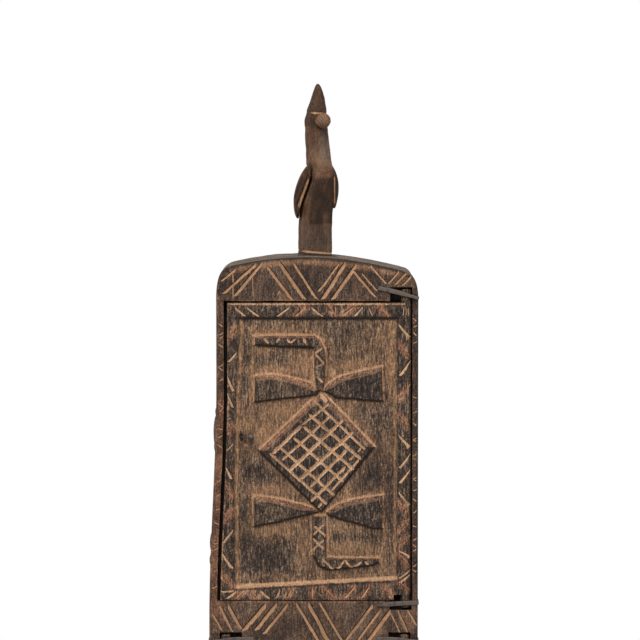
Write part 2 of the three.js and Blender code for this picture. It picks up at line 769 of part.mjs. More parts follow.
// Upper door: lozenge, four wedges that meet its points, and two bent bars
function upperDoor(door) {
  const z0 = door.bottom + UPPER_BORDER_FOOT;
  const z1 = door.top - UPPER_BORDER_TOP;
  const x0 = door.free(door.top) + UPPER_BORDER_FREE;
  const x1 = door.axis + HINGE_ROUND - UPPER_BORDER_HINGE;
  const field = [[x0, z0], [x1, z0 + FIELD_FOOT_TILT], [x1, z1], [x0, z1]];
  const middleX = (x0 + x1) / 2 + LOZENGE_SHIFT;
  const middleZ = (z0 + FIELD_FOOT_TILT / 2 + z1) / 2;
  const top = [middleX, middleZ + LOZENGE_HEIGHT / 2];
  const bottom = [middleX, middleZ - LOZENGE_HEIGHT / 2];
  const left = [middleX - LOZENGE_WIDTH / 2 - LOZENGE_SHIFT, middleZ];
  const right = [middleX + LOZENGE_WIDTH / 2 - LOZENGE_SHIFT, middleZ + 5];

  const wedge = (outerX, tip) => [
    [outerX, tip[1] - WEDGE_OUTER / 2],
    [tip[0], tip[1] - WEDGE_INNER / 2],
    ...bowed([tip[0], tip[1] + WEDGE_INNER / 2], [outerX, tip[1] + WEDGE_OUTER / 2], WEDGE_BULGE, 6),
  ];
  const barLeft = middleX - BAR_WIDTH / 2;
  const barRight = middleX + BAR_WIDTH / 2;
  const upperBarTop = z1 - BAR_MARGIN;
  const upperBar = [
    [x0 + BAR_MARGIN, upperBarTop],
    [x0 + BAR_MARGIN, upperBarTop - BAR_WIDTH],
    [barLeft, upperBarTop - BAR_WIDTH],
    [barLeft, top[1]],
    [barRight, top[1]],
    ...arc(barRight - BAR_WIDTH, upperBarTop - BAR_WIDTH, BAR_WIDTH, 0, 90, 5),
  ];
  const lowerBarFoot = z0 + FIELD_FOOT_TILT / 2 + FOOT_BAR_MARGIN;
  const tipFoot = lowerBarFoot + (BAR_WIDTH - FOOT_BAR_TIP) * 0.7;
  const lowerBar = [
    [barRight, bottom[1]],
    [barLeft, bottom[1]],
    ...arc(barLeft + BAR_WIDTH, lowerBarFoot + BAR_WIDTH, BAR_WIDTH, 180, 270, 5),
    ...arc(x1 - BAR_MARGIN, tipFoot + FOOT_BAR_TIP / 2, FOOT_BAR_TIP / 2, -90, 90, 4),
    [barRight, lowerBarFoot + BAR_WIDTH],
  ];
  const motif = join([
    raised([left, bottom, right, top]),
    raised(wedge(x0 + WEDGE_MARGIN, top)),
    raised(wedge(x1 - WEDGE_MARGIN, top)),
    raised(wedge(x0 + WEDGE_MARGIN, bottom)),
    raised(wedge(x1 - WEDGE_MARGIN, bottom)),
    raised(upperBar),
    raised(lowerBar),
  ]);
  const sunk = sloped(field, FRONT, FIELD, FIELD_BEVEL).subtract(motif);
  return cut(withLugs(door, leafBlank(door).subtract(sunk)), [
    ...latticeGrooves(left, top, right, bottom),
    pullHole(door),
  ]);
}

// Lower doors: a plain border and one small lozenge
function lowerDoor(door) {
  const inner = door.free() + door.side * LOWER_BORDER;
  const outer = door.axis + door.side * (HINGE_ROUND - LOWER_BORDER);
  const z0 = door.bottom + LOWER_BORDER;
  const z1 = door.top - LOWER_BORDER;
  const field = [[inner, z0], [outer, z0], [outer, z1], [inner, z1]];
  const middleX = (inner + outer) / 2;
  const middleZ = (z0 + z1) / 2;
  const left = [middleX - LOWER_LOZENGE_WIDTH / 2, middleZ];
  const right = [middleX + LOWER_LOZENGE_WIDTH / 2, middleZ];
  const top = [middleX, middleZ + LOWER_LOZENGE_HEIGHT / 2];
  const bottom = [middleX, middleZ - LOWER_LOZENGE_HEIGHT / 2];
  const sunk = sloped(field, FRONT, FIELD, FIELD_BEVEL).subtract(raised([left, bottom, right, top]));
  return withLugs(door, leafBlank(door).subtract(sunk)).subtract(pullHole(door));
}

// A hand-made nail, bent over towards the hinge, with a domed head
function pull(door) {
  const [x, z] = pullPlace(door);
  const { side } = door;
  const knee = FRONT - 0.5;
  const path = new THREE.CatmullRomCurve3([
    new THREE.Vector3(x, FIELD + PULL_DEPTH, z),
    new THREE.Vector3(x, FIELD + PULL_DEPTH / 2, z),
    new THREE.Vector3(x, FIELD + 0.5, z),
    new THREE.Vector3(x + side * 0.8, knee, z),
    new THREE.Vector3(x + side * PULL_BEND * 0.6, knee - PULL_RISE * 0.7, z),
    new THREE.Vector3(x + side * PULL_BEND, knee - PULL_RISE, z),
  ]);
  const circle = new THREE.Shape();
  circle.absarc(0, 0, PULL_SHANK, 0, 2 * Math.PI);
  const shank = new THREE.ExtrudeGeometry(circle, { steps: 16, curveSegments: 10, extrudePath: path });
  const profile = [
    new THREE.Vector2(0, -0.6),
    new THREE.Vector2(PULL_HEAD * 0.8, -0.6),
    new THREE.Vector2(PULL_HEAD, 0),
    new THREE.Vector2(PULL_HEAD * 0.85, 0.9),
    new THREE.Vector2(PULL_HEAD * 0.5, 1.4),
    new THREE.Vector2(0, 1.6),
  ];
  const head = new THREE.LatheGeometry(profile, 16);
  const facing = new THREE.Vector3(side * 0.75, -1, 0).normalize();
  const turn = new THREE.Quaternion().setFromUnitVectors(new THREE.Vector3(0, 1, 0), facing);
  head.applyQuaternion(turn);
  head.translate(x + side * PULL_BEND, knee - PULL_RISE, z);
  return solid(shank).add(solid(head));
}

const cupboard = new THREE.Group();
cupboard.add(piece('carved_body', carvedBody(), wood));
for (const door of DOORS) {
  const leaf = door.opening === UPPER ? upperDoor(door) : lowerDoor(door);
  cupboard.add(piece(door.name, leaf, wood));
  cupboard.add(piece(`${door.name}_top_staple`, topStaple(door, 0), iron));
  cupboard.add(piece(`${door.name}_bottom_staple`, bottomStaple(door, 0), iron));
  cupboard.add(piece(`${door.name}_pull`, pull(door), iron));
}

export default cupboard;
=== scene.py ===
import json
import math

import bpy
import numpy as np
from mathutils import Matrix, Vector


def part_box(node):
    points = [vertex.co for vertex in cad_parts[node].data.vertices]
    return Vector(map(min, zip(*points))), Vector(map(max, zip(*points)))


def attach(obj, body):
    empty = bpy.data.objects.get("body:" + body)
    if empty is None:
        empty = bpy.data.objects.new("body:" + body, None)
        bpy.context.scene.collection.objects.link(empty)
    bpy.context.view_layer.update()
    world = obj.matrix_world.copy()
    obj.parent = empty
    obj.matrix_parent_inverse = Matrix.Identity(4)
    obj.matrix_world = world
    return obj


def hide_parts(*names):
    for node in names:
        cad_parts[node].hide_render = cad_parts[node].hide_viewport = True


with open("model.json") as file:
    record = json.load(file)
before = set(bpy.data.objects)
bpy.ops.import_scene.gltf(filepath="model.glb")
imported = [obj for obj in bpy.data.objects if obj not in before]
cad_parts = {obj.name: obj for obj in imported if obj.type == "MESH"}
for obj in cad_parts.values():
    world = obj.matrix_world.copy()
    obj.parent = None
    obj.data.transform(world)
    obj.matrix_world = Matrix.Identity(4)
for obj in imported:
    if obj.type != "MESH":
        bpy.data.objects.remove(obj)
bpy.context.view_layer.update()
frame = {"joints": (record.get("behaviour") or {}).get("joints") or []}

# The script works in millimetres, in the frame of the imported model: X right, Y back, Z up
METRE = 1000.0


def corners_of(node):
    return [np.array(corner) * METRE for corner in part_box(node)]


# Sizes read from the frame, with the heights of the lugs and of the top rail
BODY_LOW, BODY_HIGH = corners_of("carved_body")
UPPER_LOW, UPPER_HIGH = corners_of("upper_door")
LOWER_LOW, LOWER_HIGH = corners_of("lower_left_door")
HALF = BODY_HIGH[0]
FRONT = BODY_LOW[1]
BACK = BODY_HIGH[1]
LUG_RISE = 12.0
LUG_DROP = 7.0
UPPER_FLOOR = UPPER_LOW[2] + LUG_DROP
UPPER_CEILING = UPPER_HIGH[2] - LUG_RISE
LOWER_FLOOR = LOWER_LOW[2] + LUG_DROP
LOWER_CEILING = LOWER_HIGH[2] - LUG_RISE
TOP_RAIL = 43.5
CROWN = UPPER_CEILING + TOP_RAIL

# The log
LEAN = 7.5
LEAN_START = UPPER_FLOOR - 20
LEAN_LENGTH = 240
FRONT_ROUND = 2.4
BACK_ROUND = 10
BACK_WALL = 14
LEDGE = 3
STILE_STEP = 1.2
UPPER_RIGHT = 99.0
LOWER_RIGHT = 98.0
UPPER_STILE = 7.7
LOWER_STILE = 10.3
MIDDLE_RAIL = LOWER_CEILING + 20
POCKET_ROUND = 0.5
HOLLOW_ROUND = 12

# The doors
THICKNESS = 13
POCKET_GAP = 0.8
NOSE = 5.3
NOSE_EASE = 4.5
NOSE_COLUMNS = 8
LUG_RADIUS = 5.1
RELIEF = 3.5
FIELD_BEVEL = 2.5
FIELD = FRONT + RELIEF
DOOR_GAP_FOOT = 0.8
DOOR_GAP_HEAD = 1.8
UPPER_FREE_GAP = 3.2
FOOT_NOTCH = 5.7
NAIL_INSET = 15


# Shares from 0 to 1


def clamp(value):
    return np.clip(value, 0, 1)


def ease(value, start, end):
    share = clamp((np.asarray(value, float) - start) / (end - start))
    return share * share * (3 - 2 * share)


def span(value, start, full, fading, end):
    """1 in the middle of a stretch of values, and 0 outside it."""
    return ease(value, start, full) * (1 - ease(value, fading, end))


def near(value, reach):
    """1 where a value is 0, falling straight to 0 at its reach."""
    return clamp(1 - np.abs(value) / reach)


def bell(value, width):
    return np.exp(-(value / width) ** 2)


def most(*masks):
    """The largest of several masks at each place."""
    return np.max(np.broadcast_arrays(*masks), axis=0)


# Places, lines and curves

# A distance past every other, to start from
FAR = 1e9


def at(x, y, z):
    return np.stack(np.broadcast_arrays(x, y, z), axis=-1)


def spread(start, end, count):
    return np.linspace(start, end, count + 1)


def circle(count):
    return np.arange(count) / count * 2 * math.pi


def unit(vectors):
    return vectors / np.linalg.norm(vectors, axis=-1, keepdims=True)


def direction(start, end):
    """A line's length, the unit vector along it, and the one to its left."""
    along = np.subtract(end, start)
    length = math.hypot(*along)
    along = along / length
    return length, along, np.array([-along[1], along[0]])


def gap_to(x, z, start, end):
    """Distance from a line between two places."""
    along = np.subtract(end, start)
    share = clamp(((x - start[0]) * along[0] + (z - start[1]) * along[1]) / math.hypot(*along) ** 2)
    return np.hypot(x - (start[0] + share * along[0]), z - (start[1] + share * along[1]))


def run_along(points):
    """Distance covered up to each point of a line."""
    return np.concatenate([[0], np.cumsum(np.linalg.norm(np.diff(points, axis=0), axis=1))])


def quadratic(a, b, c, t):
    return (1 - t) ** 2 * a + 2 * (1 - t) * t * b + t ** 2 * c


def cubic(a, b, c, d, t):
    return (1 - t) ** 3 * a + 3 * (1 - t) ** 2 * t * b + 3 * (1 - t) * t ** 2 * c + t ** 3 * d


def left_side(z):
    """The log's left side, which leans in."""
    return -HALF + LEAN * ease(z, LEAN_START, LEAN_START + LEAN_LENGTH)


def opening_left(z):
    """The left edge of both openings."""
    return left_side(z) + np.where(np.asarray(z, float) > MIDDLE_RAIL, UPPER_STILE, LOWER_STILE)


def doubled_area(outline):
    """Twice the area in an outline, less than 0 where it runs clockwise."""
    x, z = np.array(outline).T
    return np.sum(x * np.roll(z, -1) - np.roll(x, -1) * z)


def outward(ring):
    """Unit normals of a closed ring of points in the plane of the front."""
    step = np.roll(ring, -1, axis=0) - np.roll(ring, 1, axis=0)
    return unit(np.stack([step[:, 1], -step[:, 0]], axis=-1))


# Smooth random values, the same in every run


def lattice(corner, seed):
    primes = np.array([73856093, 19349663, 83492791])[: corner.shape[1]]
    mixed = corner.astype(np.int64) @ primes + seed * 2654435
    mixed = (mixed ^ (mixed >> 13)) * 1274126177
    mixed = (mixed ^ (mixed >> 16)) & 0xFFFF
    return mixed / 32767.5 - 1


def ripple(cell, seed, *axes):
    """Random hills between -1 and 1, as far apart along each axis as its cell says."""
    axes = np.broadcast_arrays(*[np.asarray(a, float) for a in axes])
    points = np.stack([a.ravel() / c for a, c in zip(axes, cell)], axis=1)
    base = np.floor(points)
    share = points - base
    share = share * share * (3 - 2 * share)
    total = np.zeros(len(points))
    for code in range(2 ** len(axes)):
        bits = np.array([(code >> k) & 1 for k in range(len(axes))])
        weight = np.prod(np.where(bits, share, 1 - share), axis=1)
        total += weight * lattice(base + bits, seed)
    return total.reshape(np.shape(axes[0]))


# Meshes. The kinds of face are old surface, fresh cut, rubbed facet, inside of a hollow, and a wall painted
# dark as shade.
KINDS = ("old", "fresh", "facet", "inside", "shaded")
FRESH, FACET, INSIDE, SHADED = range(1, 5)
KIND_FINISHES = [bpy.data.materials.new(kind) for kind in KINDS]


def new_piece(name, points, faces):
    """A mesh object from points in millimetres and arrays of faces, each with one number of corners."""
    mesh = bpy.data.meshes.new(name)
    mesh.vertices.add(len(points))
    mesh.vertices.foreach_set("co", (np.asarray(points, float) / METRE).ravel())
    corners = np.concatenate([group.ravel() for group in faces])
    counts = np.concatenate([np.full(len(group), len(group[0])) for group in faces])
    mesh.loops.add(len(corners))
    mesh.loops.foreach_set("vertex_index", corners.astype(np.int32))
    mesh.polygons.add(len(counts))
    mesh.polygons.foreach_set("loop_start", (np.cumsum(counts) - counts).astype(np.int32))
    mesh.update(calc_edges=True)
    mesh.validate()
    for finish in KIND_FINISHES:
        mesh.materials.append(finish)
    piece = bpy.data.objects.new(name, mesh)
    bpy.context.scene.collection.objects.link(piece)
    return piece


def read(items, field, kind=np.int32):
    values = np.empty(len(items), kind)
    items.foreach_get(field, values)
    return values


def places(piece):
    """The piece's points in millimetres."""
    flat = np.empty(len(piece.data.vertices) * 3)
    piece.data.vertices.foreach_get("co", flat)
    return flat.reshape(-1, 3) * METRE


def place_again(piece, points):
    piece.data.vertices.foreach_set("co", (points / METRE).ravel())
    piece.data.update()


def mark(piece, kinds):
    """Says of what kind the faces are: one kind for all, or one for each."""
    kinds = np.broadcast_to(kinds, len(piece.data.polygons)).astype(np.int32)
    piece.data.polygons.foreach_set("material_index", kinds)
    return piece


def border(rows, columns):
    """Indices round a grid's edge: foot, right, head, left."""
    grid = np.arange(rows * columns).reshape(rows, columns)
    return np.concatenate([grid[0, :-1], grid[:-1, -1], grid[-1, :0:-1], grid[:0:-1, 0]])


def sheet_faces(sheet, first, step=1):
    rows, columns = sheet.shape[:2]
    grid = first + np.arange(rows * columns).reshape(rows, columns)
    faces = np.stack([grid[:-1, :-1], grid[:-1, 1:], grid[1:, 1:], grid[1:, :-1]], axis=-1)
    return faces.reshape(-1, 4)[:, ::step]


def tube_faces(rows, count, first=0):
    """Faces round a stack of rings, and the two that close it."""
    grid = first + np.arange(rows * count).reshape(rows, count)
    ahead = np.roll(grid, -1, axis=1)
    sides = np.stack([grid[:-1], ahead[:-1], ahead[1:], grid[1:]], axis=-1).reshape(-1, 4)
    return sides, grid[:1, ::-1], grid[-1:]


def tube(name, rings):
    """A closed form over rings of as many points each, with flat ends."""
    return new_piece(name, np.concatenate(rings), tube_faces(len(rings), len(rings[0])))


def skin(name, front, rims, back, mirrored=False):
    """A closed form: a front sheet, rings round it towards the back, and a back sheet.
    Rings have one point for each place on the edge of a sheet, and may change from fine to coarse."""
    layers = [front.reshape(-1, 3), *rims, back.reshape(-1, 3)]
    first = np.cumsum([0] + [len(layer) for layer in layers])
    rings = [border(*front.shape[:2])]
    rings += [start + np.arange(len(rim)) for start, rim in zip(first[1:], rims)]
    rings.append(first[-2] + border(*back.shape[:2]))
    faces = [sheet_faces(front, 0)]
    for ring, following in zip(rings, rings[1:]):
        count = len(following)
        pitch = len(ring) // count
        index = np.arange(count)
        along = [ring[(index * pitch + k) % len(ring)] for k in range(pitch, 0, -1)]
        ahead = following[(index + 1) % count]
        faces.append(np.stack([ring[index * pitch], following, ahead] + along, axis=1))
    faces.append(sheet_faces(back, first[-2], -1))
    if mirrored:
        faces = [group[:, ::-1] for group in faces]
    return new_piece(name, np.concatenate(layers), faces)


def combine(piece, tool, operation):
    """Joins or cuts with another closed form, which is used up."""
    modifier = piece.modifiers.new("carving", "BOOLEAN")
    modifier.operation = operation
    modifier.solver = "MANIFOLD"
    modifier.object = tool
    shaped = piece.evaluated_get(bpy.context.evaluated_depsgraph_get())
    mesh = bpy.data.meshes.new_from_object(shaped)
    piece.modifiers.clear()
    piece.data = mesh
    bpy.data.objects.remove(tool)


def cut(piece, tool):
    combine(piece, tool, "DIFFERENCE")


def join(piece, tool):
    combine(piece, tool, "UNION")


def cutter(x, z, stations, rough, cell, seed):
    """A closed tool over a grid of places, with rough faces. At each station, given as depth and pull,
    its outline is pulled in."""
    flat = np.stack([x, z], axis=-1)
    low, high = flat.min(axis=(0, 1)), flat.max(axis=(0, 1))
    middle = (low + high) / 2
    sheets = []
    for y, pull in stations:
        drawn = middle + (flat - middle) * (1 - 2 * pull / (high - low))
        sheets.append(at(drawn[..., 0], y, drawn[..., 1]))
    rims = [sheet.reshape(-1, 3)[border(*x.shape)] for sheet in sheets[1:-1]]
    piece = skin("tool", sheets[0], rims, sheets[-1])
    points = places(piece)
    for axis in range(3):
        points[:, axis] += rough * ripple(cell, seed + axis, *points.T)
    place_again(piece, points)
    return piece


def block(low, high, cell, rough, seed):
    """A box-shaped tool."""
    steps = [np.linspace(a, b, max(2, int((b - a) / cell) + 1)) for a, b in zip(low, high)]
    x, z = np.meshgrid(steps[0], steps[2])
    return cutter(x, z, [(y, 0) for y in steps[1]], rough, (4, 4, 4), seed)


def round_over(back, radius, degrees):
    """Depth and inset at some turns of a quarter circle that ends at the back."""
    turn = np.radians(degrees)
    return list(zip(back - radius * (1 - np.sin(turn)), radius * (1 - np.cos(turn))))


def paint(piece, **masks):
    """Keeps masks on the points for the finishes to read."""
    for name, values in masks.items():
        layer = piece.data.attributes.new(name, "FLOAT", "POINT")
        layer.data.foreach_set("value", clamp(values).astype(np.float32))


def settle(piece, material, degrees):
    """Gives the piece its material, keeps the kinds of face as masks, and sets which edges are sharp."""
    mesh = piece.data
    kinds = read(mesh.polygons, "material_index")
    mesh.materials.clear()
    mesh.materials.append(material)
    mark(piece, 0)
    for kind, name in enumerate(KINDS[1:], 1):
        layer = mesh.attributes.new(name, "FLOAT", "FACE")
        layer.data.foreach_set("value", (kinds == kind).astype(np.float32))
    mesh.shade_smooth()
    mesh.set_sharp_from_angle(angle=math.radians(degrees))
    edge_of = read(mesh.loops, "edge_index")
    kind_of = np.repeat(kinds, read(mesh.polygons, "loop_total"))
    highest = np.zeros(len(mesh.edges), np.int32)
    lowest = np.full(len(mesh.edges), len(KINDS), np.int32)
    np.maximum.at(highest, edge_of, kind_of)
    np.minimum.at(lowest, edge_of, kind_of)
    layer = mesh.attributes.get("sharp_edge") or mesh.attributes.new("sharp_edge", "BOOLEAN", "EDGE")
    layer.data.foreach_set("value", read(layer.data, "value", bool) | (highest != lowest))


# V-cuts, each as x and z at both ends, width, depth and lean. A leaning cut has one wide, rubbed wall.
# Where the lean is None, the wall that looks down is steep and is painted dark, as painted shade.
ABOVE_FACE = 0.9


def apart(first, second):
    """Whether two cuts are far enough from each other to be made by one tool."""
    x, z = np.linspace(first[:2], first[2:4], 14).T
    return gap_to(x, z, second[:2], second[2:4]).min() > 0.95 * (first[4] + second[4]) + 0.4


def in_groups(cuts):
    groups = []
    for cut_line in cuts:
        for group in groups:
            if all(apart(cut_line, other) for other in group):
                group.append(cut_line)
                break
        else:
            groups.append([cut_line])
    return groups


def carving_tool(cuts, surface, seed, plane=FRONT):
    """One closed canoe-shaped form for each cut."""
    points, faces, closing, kinds = [], [], [], []
    first = 0
    for number, (x0, z0, x1, z1, width, depth, lean) in enumerate(cuts):
        length, along, side = direction((x0, z0), (x1, z1))
        count = max(5, int(length / 1.8) + 2)
        run = np.linspace(0, length, count)
        walls = [FRESH, FRESH, FRESH]
        # The wall that looks down is marked shaded, to be painted dark as shade.
        if lean is None:
            upward = side[1] > 0
            lean = 0.45 if upward else -0.45
            walls[1 if upward else 0] = SHADED
        elif abs(lean) > 0.2:
            walls[0 if lean > 0 else 1] = FACET
        taper = clamp(np.minimum(run, length - run) / (0.9 * width) + 0.22)
        tag = seed + 3 * number
        half = width / 2 * taper * (1 + 0.1 * ripple((4.2,), tag, run))
        deep = depth * taper * (1 + 0.08 * ripple((4.1,), tag + 1, run))
        drift = 0.25 * ripple((9,), tag + 2, run)
        x = x0 + along[0] * run + side[0] * drift
        z = z0 + along[1] * run + side[1] * drift
        base = surface(x, z)
        steep = (deep + base + ABOVE_FACE) / deep
        ring = []
        for share, y in [(-1 - lean, -ABOVE_FACE), (0, base + deep), (1 - lean, -ABOVE_FACE)]:
            reach = half * share * steep
            ring.append(at(x + side[0] * reach, plane + y, z + side[1] * reach))
        points.append(np.stack(ring, axis=1).reshape(-1, 3))
        sides, *ends = tube_faces(count, 3, first)
        faces.append(sides)
        closing += ends
        kinds.append(np.tile(walls, count - 1))
        first += 3 * count
    kinds.append(np.full(len(closing), FRESH))
    tool = new_piece("v_cuts", np.concatenate(points), [np.concatenate(faces), np.concatenate(closing)])
    return mark(tool, np.concatenate(kinds))


def incise(piece, cuts, surface, seed):
    for number, group in enumerate(in_groups(cuts)):
        cut(piece, carving_tool(group, surface, seed + 400 * number))


def raised(cuts, foot):
    """Cuts whose heights were given above a foot, in the frame."""
    return [(x0, foot + z0, x1, foot + z1, *rest) for x0, z0, x1, z1, *rest in cuts]


class Leaf:
    """A door's place: its opening, its hinge axis and side, and its free edge."""

    def __init__(self, name, body, floor, ceiling, columns, rows):
        self.name = name
        self.body = body
        self.floor = floor
        self.ceiling = ceiling
        self.foot = floor + DOOR_GAP_FOOT
        self.head = ceiling - DOOR_GAP_HEAD
        self.columns = columns
        self.rows = rows
        joint = next(joint for joint in frame["joints"] if joint["name"] == name + "_hinge")
        self.axis = joint["pos_m"][0] * METRE
        self.side = 1 if joint["axis"][2] > 0 else -1
        self.free_edge = corners_of(name)[0 if self.side > 0 else 1][0]

    def free(self, z):
        """The free edge at a height. That of the upper door leans with the log."""
        if self is UPPER:
            return opening_left(z) + UPPER_FREE_GAP
        return np.full(np.shape(z), self.free_edge)


UPPER = Leaf("upper_door", "upper_leaf", UPPER_FLOOR, UPPER_CEILING, 196, 320)
LOWER_LEAVES = [
    Leaf(name + "_door", name + "_leaf", LOWER_FLOOR, LOWER_CEILING, 60, 180)
    for name in ("lower_left", "lower_right")
]

# Cuts on the rails: foot x, rise above the rail's foot, head x, rise and width.
# Chevrons were cut in groups of three.
TOP_RAIL_CUTS = [
    (-93, 20, -78, 32.5, 2.6), (-91.5, 7.5, -57.5, 38, 3.6), (-80.5, 4.5, -51.5, 39, 3.6),
    (-19.5, 0.5, -46, 36, 3.4), (-7, 1.5, -34.5, 40.5, 4.2), (4.5, 1.5, -19.5, 39, 3.0),
    (4, 9.5, 25.5, 38, 2.5), (7.5, 1.5, 31, 39, 4.2), (17.5, 1.5, 42.5, 38, 4.2),
    (63, 4, 39, 32.5, 3.0), (64.5, 10, 48.5, 28, 1.9), (73.5, 17.5, 57.5, 36, 2.5),
    (74.5, 17.5, 85.5, 31, 2.4), (81, 16.5, 92.5, 29, 2.4), (88, 15.5, 98.5, 26.5, 2.0),
    (-79.5, 2, -80, 28, 2.0), (-59.5, 4, -60.5, 24, 1.2), (-36.5, 6, -34.5, 11, 1.2),
    (-34.3, 11, -32.5, 6.5, 1.2),
]
RAIL_CUTS = [
    (-91.5, 15.5, -101.5, 34, 2.0), (-80.5, 14.5, -94, 42, 2.9), (-72, 17.5, -85.5, 42.5, 3.8),
    (-72, 16, -48, 44, 4.7), (-59.5, 16.5, -37.5, 44, 4.4), (-51.5, 12.5, -26.5, 43.5, 3.7),
    (7, 4, -17, 44.5, 3.6), (17, 4, -4.5, 44.5, 4.3), (30.5, 4, 6.5, 45, 2.8),
    (30, 4, 59, 42.5, 3.7), (42.5, 4, 67, 38, 3.2), (52.5, 4, 77, 37.5, 4.3),
    (88, 12.5, 78.5, 34, 2.0), (96, 13, 85, 38, 2.5), (105, 19.5, 95, 38, 2.3),
]
FOOT_RAIL_START = LOWER_FLOOR - 45.5
# Short nicks across the stiles: height above the door's foot at the door side, and at the outer side
LEFT_STILE_NICKS = [
    (276, 279.5), (271, 268), (267, 264.5), (255.5, 259), (239.5, 236), (232, 236), (225, 221.5),
    (195.5, 200), (195.5, 190.5), (173, 174.5), (167, 164.5), (155, 158), (122.5, 119.5), (108, 106),
    (93.5, 92), (77, 80), (58, 58), (53.5, 51), (31.5, 29), (15, 12.5),
]
RIGHT_STILE_NICKS = [
    (285, 281.5), (275.5, 278), (271, 267), (260, 261.5), (206.5, 204.5), (190, 192), (180, 176.5),
    (162.5, 165), (162.5, 161), (146, 149), (145.5, 142), (123.5, 125), (123.5, 121), (111.5, 113),
    (103.5, 100.5), (88.5, 92), (76.5, 74.5), (61, 64), (57.5, 53.5), (50, 53), (34.5, 37.5),
    (31.5, 29),
]
NICK = (1.7, 0.8, None)


def body_cuts():
    cuts = raised(TOP_RAIL_CUTS, UPPER_CEILING) + raised(RAIL_CUTS, LOWER_CEILING)
    cuts += raised(RAIL_CUTS, FOOT_RAIL_START)[3:12]
    cuts = [(*ends, width, 0.4 * width, None) for *ends, width in cuts]
    for inner, outer in LEFT_STILE_NICKS:
        edge = float(opening_left(UPPER.foot + inner))
        cuts += raised([(edge - 0.6, inner, edge - 5.2, outer, *NICK)], UPPER.foot)
    for inner, outer in RIGHT_STILE_NICKS:
        cuts += raised([(UPPER_RIGHT + 0.6, inner, HALF - 1, outer, *NICK)], UPPER.foot)
    for step in range(17):
        z = LOWER_FLOOR + 16 + 15.5 * step
        tilt = 3 if step % 2 else -3
        cuts.append((-HALF + 8.5, z, -HALF + 2, z + tilt, *NICK))
        cuts.append((LOWER_RIGHT + 1, z + 4, HALF - 1, z + 4 - tilt, *NICK))
    return cuts


# Openings as right edge, foot, head, and how far the step of the left stile goes on above the head
OPENINGS = [
    (UPPER_RIGHT, UPPER_FLOOR, UPPER_CEILING, 0), (LOWER_RIGHT, LOWER_FLOOR, LOWER_CEILING, LUG_RISE),
]


def front_of_body(x, z):
    """How deep the body's front lies below its plane, and how near the edge of an opening it is."""
    step = np.zeros(x.shape)
    edge = np.full(x.shape, FAR)
    left = opening_left(z)
    for right, foot, head, left_rise in OPENINGS:
        stile_head = head + np.where(x < 0, left_rise, LUG_RISE)
        inside = span(z, foot - 0.6, foot + 0.6, stile_head - 0.6, stile_head + 0.6)
        step = most(step, inside * ((x < left) | (x > right)))
        across = most(left - x, x - right, 0)
        upright = most(foot - z, z - head, 0)
        edge = np.minimum(edge, np.hypot(across, upright))
    wear = 0.9 * near(edge, 2.2) ** 2
    grain = 0.10 * ripple((1.6, 14), 11, x, z) + 0.08 * ripple((0.9, 5), 12, x, z)
    hewn = 0.32 * ripple((26, 34), 13, x, z) + 0.14 * ripple((9, 11), 14, x, z)
    return STILE_STEP * step + wear + grain + hewn, edge


# The front's rows: coarse beside the lower doors, fine above, then up the shoulder
COLUMNS = 188
LOWER_ROWS = 180
UPPER_ROWS = 301
SHOULDER_ROWS = 39
ROWS = LOWER_ROWS + UPPER_ROWS + SHOULDER_ROWS
SHOULDER_HEIGHT = 65
# The sides near the front, as depth and how far they follow the front's edge
SIDE_STATIONS = [(-61.5, 0.5), (-59, 0.2), (-56, 0), (-52.5, 0), (-48, 0)]
SIDE_PACE = 5.5
# The arched head's corners as width, drop of the arch there, and height of the curve
LEFT_CORNER = (14, 9, 32)
RIGHT_CORNER = (13, 14.5, 40)


def body_edges():
    """The log's left and right outline, row by row, and its arched head."""
    spring = CROWN - RIGHT_CORNER[2]
    rows = np.concatenate([
        spread(0, LOWER_CEILING, LOWER_ROWS)[:-1], spread(LOWER_CEILING, spring, UPPER_ROWS),
    ])
    t = spread(0, 1, SHOULDER_ROWS)[1:]
    sides = []
    for inward, foot, (width, drop, tall) in [
        (1, left_side(rows), LEFT_CORNER), (-1, np.full(rows.shape, HALF), RIGHT_CORNER),
    ]:
        end = foot[-1]
        lift = cubic(spring, CROWN - tall + 0.5 * (tall - drop), CROWN - drop - 1.5, CROWN - drop, t)
        width = inward * width
        curve = cubic(end, end + 0.03 * width, end + 0.3 * width, end + width, t)
        sides.append(np.stack([np.concatenate([foot, curve]), np.concatenate([rows, lift])], axis=-1))
    left, right = sides[0][-1], sides[1][-1]
    peak = np.array([0, 2 * CROWN - (left[1] + right[1]) / 2])
    return *sides, quadratic(left, peak, right, spread(0, 1, COLUMNS)[:, None])


def arch(x):
    """Height of the arched head above a place on the front."""
    head = body_edges()[2]
    return np.interp(x, head[:, 0], head[:, 1], left=head[0, 1] - 4, right=head[-1, 1] - 4)


def hewn_side(x, y, z):
    """Adze marks on the log's sides and back: shallow hollows with ridges between them."""
    hollows = 0.45 - 1.5 * np.abs(ripple((24, 22, 38), 21, x, y, z))
    hollows -= 0.5 * np.abs(ripple((11, 11, 19), 22, x, y, z))
    return hollows + 0.12 * ripple((4, 4, 6), 23, x, y, z)


